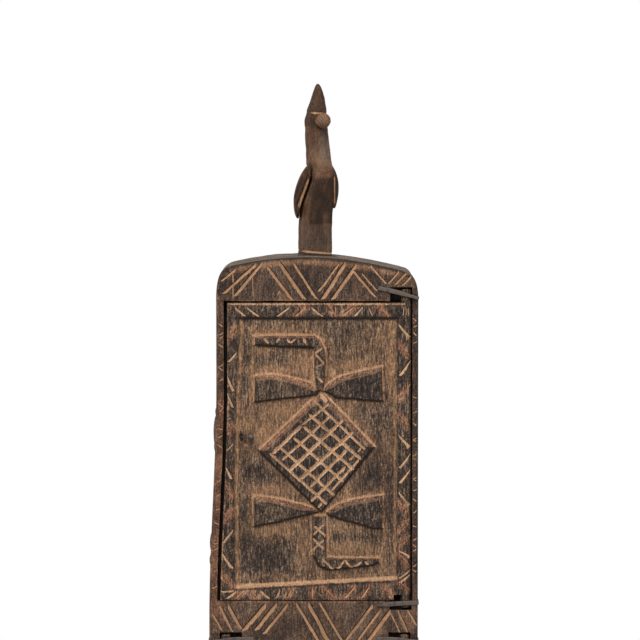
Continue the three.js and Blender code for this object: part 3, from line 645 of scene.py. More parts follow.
def log_blank():
    left, right, head = body_edges()
    foot = np.stack([spread(-HALF, HALF, COLUMNS), np.zeros(COLUMNS + 1)], axis=-1)
    ring = np.concatenate([foot[:-1], right[:-1], head[:0:-1], left[:0:-1]])
    normal = outward(ring)
    edge = border(ROWS + 1, COLUMNS + 1)

    rim = np.zeros((ROWS + 1, COLUMNS + 1, 2))
    rim.reshape(-1, 2)[edge] = ring - FRONT_ROUND * normal
    u = spread(0, 1, COLUMNS)[:, None]
    grid = rim[:, :1] * (1 - u) + rim[:, -1:] * u
    shoulder = CROWN - SHOULDER_HEIGHT
    rise = clamp((grid[:, :1, 1:] - shoulder) / (grid[-1, 0, 1] - shoulder))
    grid = grid + (rim[-1] - grid[-1]) * rise ** 1.5
    grid[0] = rim[0]
    x, z = grid[..., 0], grid[..., 1]
    depth = front_of_body(x, z)[0]
    edge_depth = depth.reshape(-1)[edge]

    # Inset, depth, how far it follows the front's edge, and every how many points
    stations = [(0.75, FRONT + 0.7, 1.0, 1), (0, FRONT + FRONT_ROUND, 0.9, 1)]
    stations += [(0, y, follow, 1) for y, follow in SIDE_STATIONS]
    first = SIDE_STATIONS[-1][0] + SIDE_PACE
    stations += [(0, y, 0, 4) for y in np.arange(first, BACK - BACK_ROUND, SIDE_PACE)]
    stations += [(inset, y, 0, 4) for y, inset in round_over(BACK, BACK_ROUND, (0, 18, 36, 54, 72))]
    rings = []
    for inset, y, follow, step in stations:
        out = normal[::step]
        flat = ring[::step] - inset * out
        y = y + follow * edge_depth[::step]
        bump = (hewn_side(flat[:, 0], y, flat[:, 1]) - 0.35) * ease(y, FRONT + FRONT_ROUND, FRONT + 14)
        flat = flat + out * bump[:, None]
        rings.append(at(flat[:, 0], y, flat[:, 1]))

    middle = np.array([0, CROWN / 2])
    pull_in = 1 - (BACK_ROUND - FRONT_ROUND) / np.array([HALF, CROWN / 2])
    back = middle + (grid[::4, ::4] - middle) * pull_in
    back_y = BACK - 0.6 + hewn_side(back[..., 0], BACK, back[..., 1])
    back = at(back[..., 0], np.minimum(back_y, BACK + 0.2), back[..., 1])
    return skin("carved_body_wood", at(x, FRONT + depth, z), rings, back)


def opening_cutter(right, foot, head, inset, front, back, rounding, seed):
    """A tool for an opening of the case. The hollow's is rounded at the back and hewn rougher."""
    z = np.linspace(foot + inset, head - inset, 53)[:, None]
    left = opening_left(np.clip(z, foot + 1, head - 1)) + inset
    x = left + (right - inset - left) * spread(0, 1, 36)
    stations = [(front, 0)] + [(y, 0) for y in np.arange(front + 5, back - rounding, 5)]
    rough = 0.35
    if rounding > POCKET_ROUND:
        stations += round_over(back, rounding, (0, 30, 60))
        rough = 0.9
    stations.append((back, rounding))
    return cutter(x, np.broadcast_to(z, x.shape), stations, rough, (11, 11, 16), seed)


# Low animals on the left side: height above the upper floor, and their parts
# as depth place, height, length, breadth and how far it stands out
ANIMALS = [
    (164.5, [
        (0, 0, 19, 17, 4.0), (0, 21, 6, 6, 2.8), (-15, 13, 7, 4.5, 2.5), (15, 13, 7, 4.5, 2.5),
        (-15, -13, 7, 4.5, 2.5), (15, -13, 7, 4.5, 2.5),
    ]),
    (51.5, [(-6, 0, 11, 11, 2.9), (-6, -18, 7, 6, 2.7), (-17, 3, 4, 4, 2), (5, 3, 4, 4, 2)]),
]


def ball(centre, radii, columns, rows):
    turn = circle(columns)
    rise = (math.pi * np.arange(1, rows) / rows)[:, None]
    round_form = at(np.cos(turn) * np.sin(rise), np.sin(turn) * np.sin(rise), -np.cos(rise))
    return tube("ball", np.array(centre) + round_form * np.array(radii))


def carved_body():
    log = log_blank()
    for (right, foot, head, _), seed in zip(OPENINGS, (41, 51)):
        pocket_back = FRONT + THICKNESS + POCKET_GAP
        pocket = opening_cutter(right, foot, head, 0, FRONT - 6, pocket_back, POCKET_ROUND, seed)
        cut(log, mark(pocket, INSIDE))
        back = BACK - BACK_WALL
        hollow = opening_cutter(right, foot, head, LEDGE, FRONT + 6, back, HOLLOW_ROUND, seed + 5)
        cut(log, mark(hollow, INSIDE))
    for leaf in [UPPER] + LOWER_LEAVES:
        x = sorted((leaf.axis - leaf.side * (LUG_RADIUS + 11), leaf.axis + leaf.side * (LUG_RADIUS + 1)))
        back = FRONT + NOSE + LUG_RADIUS + 1
        for low, high, seed in [
            (leaf.ceiling - 4, leaf.ceiling + LUG_RISE + 2, 60),
            (leaf.floor - LUG_DROP - 2, leaf.floor + 4, 65),
        ]:
            notch = block((x[0], FRONT - 6, low), (x[1], back, high), 2.4, 0.25, seed)
            cut(log, mark(notch, INSIDE))
    for middle, parts in ANIMALS:
        for y, rise, length, breadth, proud in parts:
            z = UPPER_FLOOR + middle + rise
            join(log, ball((float(left_side(z)), y, z), (proud, breadth, length), 48, 30))
    incise(log, body_cuts(), lambda x, z: front_of_body(x, z)[0], 500)
    return log


# Bird finial. A section is height, middle, half width, half depth, forward lean, squareness and turn
# in degrees. Lengths are shares of the finial's height and of the post's half width or half depth.
FINIAL_X = 1.5
FINIAL_Y = 4
FINIAL_HEIGHT = BODY_HIGH[2] - CROWN
POST = 17.3
POST_DEEP = 18
BIRD_SECTIONS = [
    (-0.07, 0, 1, 1, 0, 7, 17), (0.03, 0, 1.0, 1.0, 0, 7, 17), (0.2, 0.02, 0.98, 0.95, 0, 7, 17),
    (0.3, 0.11, 0.94, 0.92, 0.03, 6, 17), (0.37, 0.26, 0.81, 0.89, 0.05, 6, 16),
    (0.44, 0.39, 0.68, 0.86, 0.06, 5, 15), (0.495, 0.41, 0.7, 0.84, 0.09, 3.4, 14),
    (0.51, 0.33, 0.73, 0.76, 0.08, 3, 16), (0.53, 0.23, 0.76, 0.70, 0.06, 2.8, 20),
    (0.56, 0.2, 0.73, 0.64, 0, 3, 30), (0.62, 0.17, 0.71, 0.6, 0, 3.2, 38),
    (0.7, 0.09, 0.69, 0.58, 0, 3.2, 40), (0.76, 0.05, 0.65, 0.58, 0, 3, 40),
    (0.785, 0.045, 0.66, 0.6, 0, 2.8, 38), (0.8, 0.04, 0.63, 0.6, 0, 2.6, 36),
    (0.84, 0.08, 0.56, 0.56, 0, 2.4, 30), (0.858, 0.11, 0.52, 0.52, 0, 2.3, 30),
    (0.88, 0.13, 0.46, 0.47, 0, 2.2, 30), (0.92, 0.17, 0.38, 0.36, 0, 2, 20),
    (0.955, 0.17, 0.285, 0.27, 0, 2, 10), (0.98, 0.17, 0.19, 0.19, 0, 2, 0),
    (0.993, 0.16, 0.125, 0.12, 0, 2, 0), (1, 0.16, 0.05, 0.05, 0, 2, 0),
]
LEFT_WING = [
    (-0.2, 0.54), (-0.52, 0.515), (-0.9, 0.455), (-1.16, 0.38), (-1.25, 0.32), (-1.2, 0.25),
    (-1.03, 0.212), (-0.94, 0.235), (-0.83, 0.29), (-0.55, 0.37), (-0.27, 0.455),
]
RIGHT_WING = [
    (0.9, 0.52), (1.13, 0.5), (1.31, 0.45), (1.37, 0.4), (1.33, 0.34), (1.16, 0.275), (0.98, 0.3),
    (0.85, 0.4),
]
WING_FRONT = FINIAL_Y - 10
# The wings' rounded edges, as distance from the back and inset
WING_STATIONS = [
    (20, 1.7), (19.5, 1.0), (18.6, 0.4), (17.2, 0), (14, -0.3), (10, -0.4), (6, -0.3), (2.4, 0), (1.1, 0.3),
    (0.4, 0.8), (0, 1.5),
]
# Knife cuts on the wings, as x and height at both ends, width, depth and lean
PALE_WING_CUTS = [(-0.25, 0.458, -0.93, 0.272, 4.8, 0.7, 0), (1.15, 0.46, 1.16, 0.3, 1.0, 0.4, 0)]
# The dark cuts are painted dark in their grooves, as shade.
SHADED_WING_CUTS = [
    (-0.4, 0.474, -1.07, 0.29, 1.9, 0.9, 0), (-0.72, 0.462, -1.18, 0.335, 1.4, 0.6, 0),
    (1.26, 0.455, 1.28, 0.33, 1.2, 0.6, 0),
]
# Eyes, as places across, back and up
EYES = [(0.48, -0.66, 0.785), (-0.1, 0.55, 0.785)]
EYE_RADIUS = 7.7
EYE_STROKE = 2.7


def on_bird(x, height):
    """A place in the frame, from shares of the post's half width and of the finial's height."""
    return FINIAL_X + x * POST, CROWN + height * FINIAL_HEIGHT


def brow(x):
    """Height of the lower edge of the cap on the bird's head."""
    return CROWN + FINIAL_HEIGHT * (0.829 + 0.028 * ease(FINIAL_X - 6 - x, 0, 6) - 0.0004 * (x - FINIAL_X))


def jaw(x):
    """Height of the lower edge of the head."""
    return CROWN + FINIAL_HEIGHT * (0.738 - 0.0011 * (x - FINIAL_X))


def post_line(x):
    """Height of the cut line round the foot of the bird's post."""
    return CROWN + 3.2 - 0.085 * (x - FINIAL_X)


def bird_body():
    table = np.array(BIRD_SECTIONS).T
    height = np.concatenate([np.arange(-0.07, 0.985, 0.0055), np.arange(0.985, 1, 0.003), [1]])
    middle, half_width, half_depth, forward, square, turn = [
        np.interp(height, table[0], column)[:, None] for column in table[1:]
    ]
    angle = circle(112)
    x, y = np.cos(angle), np.sin(angle)
    length = (np.abs(x) ** square + np.abs(y) ** square) ** (1 / square)
    x, y = x / length * 0.9, y / length
    bend = np.radians(turn)
    x, y = x * np.cos(bend) - y * np.sin(bend), x * np.sin(bend) + y * np.cos(bend)
    x = x / np.abs(x).max(axis=1, keepdims=True) * half_width + middle
    y = y / np.abs(y).max(axis=1, keepdims=True) * half_depth - forward
    x, z = on_bird(x, height[:, None])
    return tube("bird_finial_wood", at(x, FINIAL_Y + y * POST_DEEP, z))


def resample(points, count):
    """A closed outline through a few corners, rounded and evenly stepped."""
    here = np.array(points, float)
    before, after, beyond = [np.roll(here, shift, axis=0) for shift in (1, -1, -2)]
    dense = []
    for t in np.linspace(0, 1, 12, endpoint=False):
        dense.append(0.5 * (
            2 * here + (after - before) * t
            + (2 * before - 5 * here + 4 * after - beyond) * t ** 2
            + (3 * here - before - 3 * after + beyond) * t ** 3
        ))
    dense = np.stack(dense, axis=1).reshape(-1, 2)
    closed = np.concatenate([dense, dense[:1]])
    run = run_along(closed)
    even = np.linspace(0, run[-1], count, endpoint=False)
    return np.stack([np.interp(even, run, closed[:, k]) for k in range(2)], axis=-1)


def wing(outline):
    flat = resample([on_bird(x, height) for x, height in outline], 72)
    if doubled_area(flat) < 0:
        flat = flat[::-1]
    y, inset = np.array(WING_STATIONS).T[..., None]
    flat = flat - inset[..., None] * outward(flat)
    return tube("wing", at(flat[..., 0], WING_FRONT + y, flat[..., 1]))


def eye_strokes(points, centre):
    """1 in the slanting knife strokes over an eye, and 0 between them."""
    away = points - np.array(centre)
    run = away[:, 0] * 0.8 + away[:, 2] * 0.6 + 0.8 * ripple((4, 4, 4), 33, *away.T)
    depth = 0.6 + 0.6 * ripple((3, 3, 3), 34, *away.T)
    return ease(np.sin(run / EYE_STROKE * 2 * math.pi), -0.1, 0.7) * clamp(depth)


def eye_centres():
    for across, back, height in EYES:
        x, z = on_bird(across, height)
        yield (x, FINIAL_Y + back * POST_DEEP, z)


def bird_finial():
    bird = bird_body()
    points = places(bird)
    x, y, z = points.T
    radial = points[:, :2] - np.array([FINIAL_X, FINIAL_Y])
    radial /= np.linalg.norm(radial, axis=1, keepdims=True) + 1e-9
    whittled = 0.42 * ripple((9, 9, 13), 31, x, y, z) + 0.2 * ripple((4, 4, 5), 32, x, y, z)
    whittled *= ease(CROWN + FINIAL_HEIGHT * 0.97 - z, 0, 12)
    whittled += 0.5 * span(z - brow(x), -0.5, 0.5, 5, 22)
    whittled += 0.3 * span(z - jaw(x), -0.5, 0.5, 5, 14)
    whittled -= 0.6 * bell(z - post_line(x), 0.9)
    points[:, :2] += radial * whittled[:, None]
    place_again(bird, points)
    for centre in eye_centres():
        eye = ball(centre, [EYE_RADIUS] * 3, 84, 50)
        surface = places(eye)
        out = (surface - centre) / EYE_RADIUS
        place_again(eye, surface - out * 0.3 * eye_strokes(surface, centre)[:, None])
        join(bird, eye)
    join(bird, wing(LEFT_WING))
    join(bird, wing(RIGHT_WING))
    # The second set of cuts is marked shaded: painted dark as shade.
    for number, cuts in enumerate([PALE_WING_CUTS, SHADED_WING_CUTS]):
        placed = [(*on_bird(x0, h0), *on_bird(x1, h1), *rest) for x0, h0, x1, h1, *rest in cuts]
        tool = carving_tool(placed, lambda x, z: 0 * x, 90 + number, WING_FRONT)
        cut(bird, mark(tool, SHADED) if number else tool)
    return bird


# Doors. Places on the upper door are x in the frame and height above the door's foot.
UPPER_BORDER = [
    (-79.6, 12.0), (84.5, 20.5), (84.5, 284.7), (-75.4, 284.7), (-76, 262), (-78.8, 203), (-81, 113),
]
LOZENGE = [(7.5, 211.4), (61.3, 155.2), (7.5, 88.7), (-55, 151.2)]
UPPER_BAR = [
    (-59, 266.5), (-39.8, 267.5), (0.4, 267.2), (6.1, 263.8), (11.3, 253.5), (12.5, 242), (12, 225),
    (10, 211), (2, 211), (0.4, 230), (-0.2, 254.8), (-28, 255.3), (-58.8, 257.2),
]
LOWER_BAR = [
    (-2, 86), (-2.2, 60), (-1.2, 46), (5.1, 34.5), (15.4, 30.3), (42.4, 33), (59.6, 35.2), (66, 38.2),
    (66.4, 43), (26.5, 43), (13.4, 44), (13, 86),
]
WEDGES = [
    [(-59.7, 200), (-45.5, 201.6), (-28.3, 204), (-11.1, 205.4), (3, 207.5), (6, 212), (-4.2, 220),
     (-14, 222.8), (-25.5, 225.6), (-36.5, 227.8), (-48.5, 228.3), (-59, 226.3)],
    [(69.8, 201), (53.6, 201.8), (38, 203.6), (23.2, 204.2), (16.8, 208.5), (9, 211.5), (14.5, 218.5),
     (23.2, 224.4), (30, 227.2), (43.8, 230.4), (53.6, 232.8), (68.8, 236)],
    [(-60.3, 74.2), (-48.1, 76.8), (-32.8, 79.8), (-17.5, 83.9), (-2.2, 87.3), (7, 89.5), (-2.2, 94.3),
     (-12.4, 97.2), (-22.6, 99.7), (-32.8, 102.3), (-48.1, 104.8), (-60.8, 105.5)],
    [(69.4, 72.3), (59.6, 72.6), (45.3, 77.2), (30.9, 80.6), (14.3, 86.4), (13, 89.5), (24.5, 97.5),
     (36.5, 101.6), (54.5, 104.6), (69.4, 106.5)],
]
WEDGE_SOOT = [0.2, 0.8, 0.4, 0.75]
LATTICE = [
    (-41, 148, -11.5, 177.5, 3.0), (-11.5, 177.5, 15.5, 198.5, 2.0), (-32, 141.5, 16.5, 186, 2.2),
    (-25, 130, 29.5, 182.5, 3.0), (-13.5, 122.5, 39.5, 170, 3.2), (-3.5, 114.5, 34, 153, 2.6),
    (36, 141.5, 40.5, 146.5, 1.6), (44.5, 150, 47.5, 154.5, 1.4), (-2.5, 100, 32, 135.5, 2.2),
    (18, 111, 46, 143, 1.8), (4, 94, 8.5, 99, 2.0), (-44, 149, 14.5, 96.5, 2.2),
    (-33.5, 155, 21.5, 106, 2.2), (-20, 164.5, 30, 120, 2.4), (-10.5, 176, 40.5, 132, 2.6),
    (-4.5, 188, 48, 142.5, 2.6), (-1.5, 204, 51.5, 152.5, 2.0), (7, 211, 14.5, 201.5, 1.8),
]
BAR_CUTS = [
    (-50, 264.5, -45, 259), (-34, 264.8, -37.5, 260), (-26.5, 264, -23, 259.5), (-23, 259.5, -18, 264),
    (-10, 264.8, -7.7, 258.5), (8.4, 254.5, 1, 249.3), (1, 249.3, 10.7, 239), (10.7, 239, 2, 235.5),
    (3.5, 226, 9.5, 220), (0.5, 75.4, 12.6, 65.7), (10.3, 77.7, -0.1, 66.3), (-0.6, 62.8, 10.3, 51.9),
    (10.3, 61.7, -1.2, 51.3), (8.5, 42.1, 19.5, 31.2), (30.9, 39.9, 24.1, 31.2), (30.9, 41, 39, 32.4),
    (48.2, 39.3, 41.3, 34.1), (51.6, 39.9, 55.1, 35.8),
]
# Cuts over the border. Sides: height at the field, height at the outer edge, width.
# Head and foot: x at the upper end, x at the lower end, width.
LEFT_BORDER_CUTS = [
    (276, 263, 3.6), (250.5, 240, 2.8), (211.5, 228, 3), (195, 211, 2.8), (177, 165, 3.6),
    (159, 151, 2), (123, 137, 2.8), (104, 119, 3.6), (91, 79.5, 3.6), (72, 57.5, 3), (33, 49.5, 3),
    (13.5, 28, 3.6), (10.5, 9.5, 2.6),
]
RIGHT_BORDER_CUTS = [
    (279, 266, 3), (258, 245.5, 3.6), (227.5, 242.5, 3), (203, 218, 3.6), (187, 175, 3.6),
    (168, 156, 3), (134.5, 149, 2.8), (119.5, 132.5, 3), (110, 97, 3), (98.5, 86, 3.6), (70, 83, 3.8),
    (56, 65.5, 3.4), (51.5, 45, 2.4), (47, 34.5, 3.6), (23, 31.5, 2.8), (19, 26.5, 3.2), (18, 10.5, 3.6),
]
HEAD_BORDER_CUTS = [
    (-78.5, -67.5, 3), (-66.5, -54, 3), (-24.5, -37, 3), (-8, -18.5, 3.6), (-2, 10, 3), (14.5, 23.5, 3.6),
    (22, 21.5, 1.8), (40, 28.5, 3.6), (49, 39.5, 2.8), (55.5, 59.5, 2), (65.5, 74, 3.6), (89.5, 89.5, 1.4),
    (92, 92, 1.4), (94.5, 94.5, 1.4),
]
FOOT_BORDER_CUTS = [
    (-78, -88.5, 3), (-70, -79, 3.6), (-65, -56, 3.6), (-53, -43, 3), (-34, -38.5, 2.6),
    (-22.5, -26.5, 3.4), (-1.5, -1.5, 3.6), (10, 21, 3.6), (41, 30.5, 3.6), (56, 47.5, 3.4),
    (70.5, 80.5, 3.6),
]
WIDE_CUT = 3.3
NAIL_X = -72.6
NAIL_HEIGHT = 164.95
# Where the field was scraped down to paler wood: x, height, half width, half height, strength
SCRAPED = [
    (-8, 236, 15, 20, 0.9), (-50, 251, 14, 5, 0.6), (-35, 231, 36, 6, 0.9), (38, 237, 30, 7, 0.75),
    (17, 226, 9, 10, 1.0), (-23, 190, 26, 14, 0.95), (-50, 168, 18, 15, 0.95), (-66, 175, 8, 22, 0.8),
    (30, 188, 12, 14, 0.8), (78, 245, 7, 42, 0.8), (66, 258, 18, 16, 0.5), (-25, 272, 34, 5, 0.55),
    (-41, 111, 26, 7, 0.85), (34, 107, 26, 7, 0.7), (-35, 72, 30, 8, 0.75), (-9, 55, 9, 24, 0.65),
    (35, 52, 30, 7, 0.85), (38, 72, 26, 6, 0.5), (71, 60, 2.5, 50, 0.7), (-61.5, 230, 1.8, 55, 0.8),
    (30, 24, 44, 5, 0.45), (-20, 22, 50, 5, 0.4), (40, 250, 30, 20, 0.3), (72, 150, 10, 24, 0.35),
]
# Where it has kept its dark patina
DARKENED = [
    (-42, 45, 30, 24, 0.75), (62, 130, 20, 40, 1.0), (-52, 128, 16, 12, 0.8), (25, 262, 40, 14, 0.5),
    (44, 62, 24, 8, 0.7), (-69, 62, 5, 62, 0.8), (-35, 243, 22, 7, 0.6), (68, 178, 12, 14, 0.4),
    (-69, 250, 4, 40, 0.6),
]


class Outline:
    """A closed outline of a form, with the widths of its slopes where it looks up, down and sideways."""

    def __init__(self, corners, upper, lower, sides):
        self.corners = corners
        self.slopes = (upper, lower, sides)

    def edges(self, rise=0.0):
        raised_corners = [(x, z + rise) for x, z in self.corners]
        return list(zip(raised_corners, raised_corners[1:] + raised_corners[:1]))

    def measure(self, x, z):
        """How far up its slopes a place is, 1 at their top, the distance outwards, and how the edge looks."""
        inside = np.zeros(x.shape, bool)
        rise = away = np.full(x.shape, FAR)
        looks = np.zeros(x.shape)
        turn = 1 if doubled_area(self.corners) > 0 else -1
        upper, lower, sides = self.slopes
        for start, end in self.edges():
            up = -turn * direction(start, end)[1][0]
            slope = upper if up > 0.35 else lower if up < -0.35 else sides
            distance = gap_to(x, z, start, end)
            rise = np.minimum(rise, distance / slope)
            looks = np.where(distance < away, up, looks)
            away = np.minimum(away, distance)
            if start[1] != end[1]:
                crosses = (start[1] > z) != (end[1] > z)
                edge = start[0] + (z - start[1]) * (end[0] - start[0]) / (end[1] - start[1])
                inside ^= crosses & (x < edge)
        return np.where(inside, rise, 0), np.where(inside, -away, away), looks


class Masks(dict):
    """Masks by name. Each keeps the largest value that it was given at every place."""

    def add(self, **values):
        for name, value in values.items():
            self[name] = most(self.get(name, 0), value)


def field_left(height):
    """The left edge of the upper door's field."""
    edge = UPPER_BORDER[:1] + UPPER_BORDER[:2:-1]
    return np.interp(height, [h for x, h in edge], [x for x, h in edge])


def upper_cuts():
    """All V-cuts of the upper door, in the frame. The wide ones lean downwards."""
    cuts = []
    for inner, outer, width in LEFT_BORDER_CUTS:
        start = float(field_left(inner)) - 0.6
        end = float(opening_left(UPPER.foot + outer)) + 2.8
        cuts.append((start, inner, end, outer, width, 1.2, -0.5 if width > WIDE_CUT else None))
    for inner, outer, width in RIGHT_BORDER_CUTS:
        cuts.append((85.4, inner, 97.2, outer, width, 1.1, 0.5 if width > WIDE_CUT else None))
    for upper, lower, width in HEAD_BORDER_CUTS:
        cuts.append((upper, 296.0, lower, 286.5, width * 0.85, 1.1, 0.4 if width > WIDE_CUT else None))
    for upper, lower, width in FOOT_BORDER_CUTS:
        top = 10 + 0.03 * (upper + 78)
        cuts.append((upper, top, lower, 1.8, width, 1.2, 0.4 if width > WIDE_CUT else None))
    cuts += [(*ends, width + 0.5, 0.42 * width + 0.2, 0) for *ends, width in LATTICE]
    cuts += [(*ends, 2.1, 0.9, 0) for ends in BAR_CUTS]
    return raised(cuts, UPPER.foot)


UPPER_CUTS = upper_cuts()
UPPER_FIELD = Outline(UPPER_BORDER, FIELD_BEVEL, FIELD_BEVEL, FIELD_BEVEL)
# Raised forms, each with how dark its top is
UPPER_FORMS = [
    (Outline(LOZENGE, 5.0, 1.2, 3.0), 0.75), (Outline(UPPER_BAR, 2.2, 1.4, 1.2), 0.35),
    (Outline(LOWER_BAR, 1.6, 1.4, 1.2), 0.6),
] + [(Outline(wedge, 4.6, 1.0, 0.8), soot) for wedge, soot in zip(WEDGES, WEDGE_SOOT)]


def edges_of(field, forms, foot):
    edges = field.edges(foot)
    for form, soot in forms:
        edges += form.edges(foot)
    return edges


def snap(x, z, lines, cell):
    """Grid places near a line are moved onto it, so that an edge comes out crisp."""
    x, z = x.copy(), z.copy()
    free = np.ones(x.shape, bool)
    for start, end in lines:
        length, along, side = direction(start, end)
        run = (x - start[0]) * along[0] + (z - start[1]) * along[1]
        off = (x - start[0]) * side[0] + (z - start[1]) * side[1]
        close = free & (np.abs(off) < 0.5 * cell) & (run > -0.3 * cell) & (run < length + 0.3 * cell)
        x[close] -= off[close] * side[0]
        z[close] -= off[close] * side[1]
        free &= ~close
    return x, z


def blots(x, height, rows):
    """Soft-edged ellipses, the strongest where they overlap."""
    found = np.zeros(x.shape)
    for middle_x, middle_h, half_width, half_height, strength in rows:
        reach = ((x - middle_x) / half_width) ** 2 + ((height - middle_h) / half_height) ** 2
        found = most(found, strength * np.exp(-reach * 0.8))
    return found


def beside_wide_cuts(x, z, cuts):
    """1 beside a leaning cut, where the border has worn to red-brown."""
    found = np.zeros(x.shape)
    for x0, z0, x1, z1, width, depth, lean in cuts:
        if lean:
            found = most(found, clamp(1.35 - gap_to(x, z, (x0, z0), (x1, z1)) / 5.0))
    return found


def relief(x, z, field, forms, foot, seed):
    """Depth below the door's front, and the masks of its wood, for a sunk field with raised forms."""
    height = z - foot
    sunk, gap, _ = field.measure(x, height)
    sunk = clamp(sunk)
    found = Masks()
    for form, darkness in forms:
        rise, away, looks = form.measure(x, height)
        inside = away < -0.3
        beside = np.where(inside, FAR, np.abs(away))
        up = looks > 0.3
        under = looks < -0.2
        # Painted light and shade: pale lines beside the forms are cut wood, brightest along edges that look
        # up as painted highlight; slopes and crests that look up are painted lit; under edges that look down
        # a dark band is painted as shadow.
        found.add(
            halo=np.exp(-beside / 7.0) * np.where(up, 1.0, 0.5),
            line=near(beside, 3.6) * np.where(up, 1.0, np.where(looks < -0.3, 0.0, 0.62)),
            dirt=most(0.85 * near(beside, 2.6) * under, 0.7 * (inside & under & (rise < 1.5))),
            rub=4 * clamp(1.15 - rise) * (up & inside),
            crest=clamp(1 - 1.9 * np.abs(rise - 1.05)) * (up & inside),
            soot=darkness * clamp(rise * 3 - 2) * inside,
            raised=clamp(rise),
        )
    in_field = sunk * (1 - found["raised"])
    ridges = 0.24 * ripple((1.3, 13), seed + 1, x, z) + 0.16 * ripple((0.9, 6), seed + 2, x, z)
    hewn = 0.28 * ripple((15, 22), seed + 3, x, z) + 0.12 * ripple((6, 9), seed + 4, x, z)
    faces = most(in_field, found["raised"])
    depth = RELIEF * in_field + ridges * (0.3 + 0.7 * faces) + hewn * (0.5 + 0.5 * in_field)
    depth += 0.4 * clamp(found["line"] * 2 - 1) * in_field
    depth += 0.9 * near(most(gap, 0), 4) ** 2 * (1 - sunk)
    for name in ("crest", "rub", "dirt", "soot"):
        found[name] = clamp(found[name]) * sunk
    found["line"] = found["line"] * (in_field > 0.5)
    found["halo"] = found["halo"] * in_field
    found.update(depth=depth, sunk=sunk, field=in_field, gap=gap)
    return found


def nail_hole(found, across, up, depth, reach, darkening):
    """The worn slot that the nail sits in, sunk and darkened."""
    hole = np.hypot(across / 2.3, up / 4.4)
    found["depth"] = found["depth"] + depth * clamp(reach - hole)
    found.add(dirt=clamp(darkening - hole))


def upper_carving(x, z):
    found = relief(x, z, UPPER_FIELD, UPPER_FORMS, UPPER.foot, 200)
    height = z - UPPER.foot
    field = found["field"]
    rail = 1 - found["sunk"]
    scrape = most(0.85 * found["halo"], blots(x, height, SCRAPED))
    found.add(soot=blots(x, height, DARKENED) * (1 - scrape) * field)
    band = most(bell(x - field_left(height) - 3.4, 2.3), bell(82.1 - x, 2.0))
    found["scrape"] = most(scrape, band) * field
    ledge = height - 12 - 0.053 * (x + 75.6)
    across = np.abs(x - 2.5) < 81
    head_arris = 0.7 * near(height - 298.6, 2.2) * (x < 92)
    free_arris = 0.6 * near(x - opening_left(z) - UPPER_FREE_GAP - 0.8, 2.0)
    hinge_arris = 0.75 * near(x - 97.0, 1.6)
    # Painted shadow under the head of the border.
    head_shadow = near(height - 284.4, 3) * across
    # Darker round the nail's head.
    worn = bell(np.hypot(x - NAIL_X - 5, (height - NAIL_HEIGHT) * 1.1), 9)
    red = beside_wide_cuts(x, z, UPPER_CUTS) * rail
    patch = bell(x + 16.5, 8) * bell(height - 33, 8)
    found["rub"] = found["rub"] * np.where(x > 7.5, 0.65, 1)
    # Along the foot of the field, a pale line is painted as highlight where its wall looks up, with a dark
    # line below it; the pale arrises at the head and sides are wear.
    found.add(
        line=most(near(ledge - 2.2, 3.6) * across, head_arris, free_arris, hinge_arris),
        dirt=most(0.7 * near(ledge + 1.2, 1.8) * across, head_shadow, 0.55 * worn),
        rub=most(red, 0.45 * patch * field),
        soot=rail * 0.45 * (1 - red),
    )
    nail_hole(found, x - NAIL_X, height - NAIL_HEIGHT, 2.4, 1.25, 1.45)
    return found


def lower_carving_of(leaf):
    """Carving, cuts and edges of a lower door: a lozenge lattice in a field with a cut border."""
    side, foot = leaf.side, leaf.foot
    tall = leaf.head - foot
    margin = 12
    inner = leaf.free_edge + side * margin
    outer = leaf.axis + side * (NOSE - margin)
    middle = (inner + outer) / 2
    low, high = sorted((inner, outer))
    corners = [(low, margin), (high, margin), (high, tall - margin), (low, tall - margin)]
    top, right, bottom, left = [
        np.array([middle + x, tall / 2 + z]) for x, z in [(0, 48), (22, 0), (0, -48), (-22, 0)]
    ]
    cuts = []
    for step in range(1, 5):
        for a, b, c, d in [(left, bottom, top, right), (left, top, bottom, right)]:
            start = a + step / 5 * (b - a)
            end = c + step / 5 * (d - c)
            trim = 0.09 * (end - start)
            cuts.append((*(start + trim), *(end - trim), 2.6, 1.1, 0))
    for step in range(18):
        height = 8 + 15.6 * step
        slant = 6 if step % 2 else -6
        for start, end in [(low - 9.6, low - 1.8), (high + 1.8, high + 9.6)]:
            cuts.append((start, height - slant, end, height + slant, 3.2, 1.2, 0.3 * side))
    for step in range(6):
        start = low + 2 + (high - low - 4) * step / 5.5
        slant = 4 if step % 2 else -4
        for height in (1.8, tall - 10):
            cuts.append((start - slant, height, start + slant, height + 8, 3.0, 1.2, 0))
    field = Outline(corners, FIELD_BEVEL, FIELD_BEVEL, FIELD_BEVEL)
    forms = [(Outline([top, right, bottom, left], 4.0, 1.2, 2.6), 0.75)]
    seed = 300 if side > 0 else 340

    def carving(x, z):
        found = relief(x, z, field, forms, foot, seed)
        band = 0.9 * bell(np.abs(found["gap"]) - 3.5, 2.4)
        found["scrape"] = most(0.85 * found["halo"], band) * found["field"]
        rail = 1 - found["sunk"]
        red = rail * ease(ripple((9, 13), seed + 9, x, z), -0.1, 0.6)
        found.add(rub=red, soot=rail * 0.4 * (1 - red))
        nail_hole(found, x - leaf.free_edge - side * NAIL_INSET, z - foot - tall / 2, 2.2, 1.2, 1.3)
        return found

    return carving, raised(cuts, foot), edges_of(field, forms, foot)


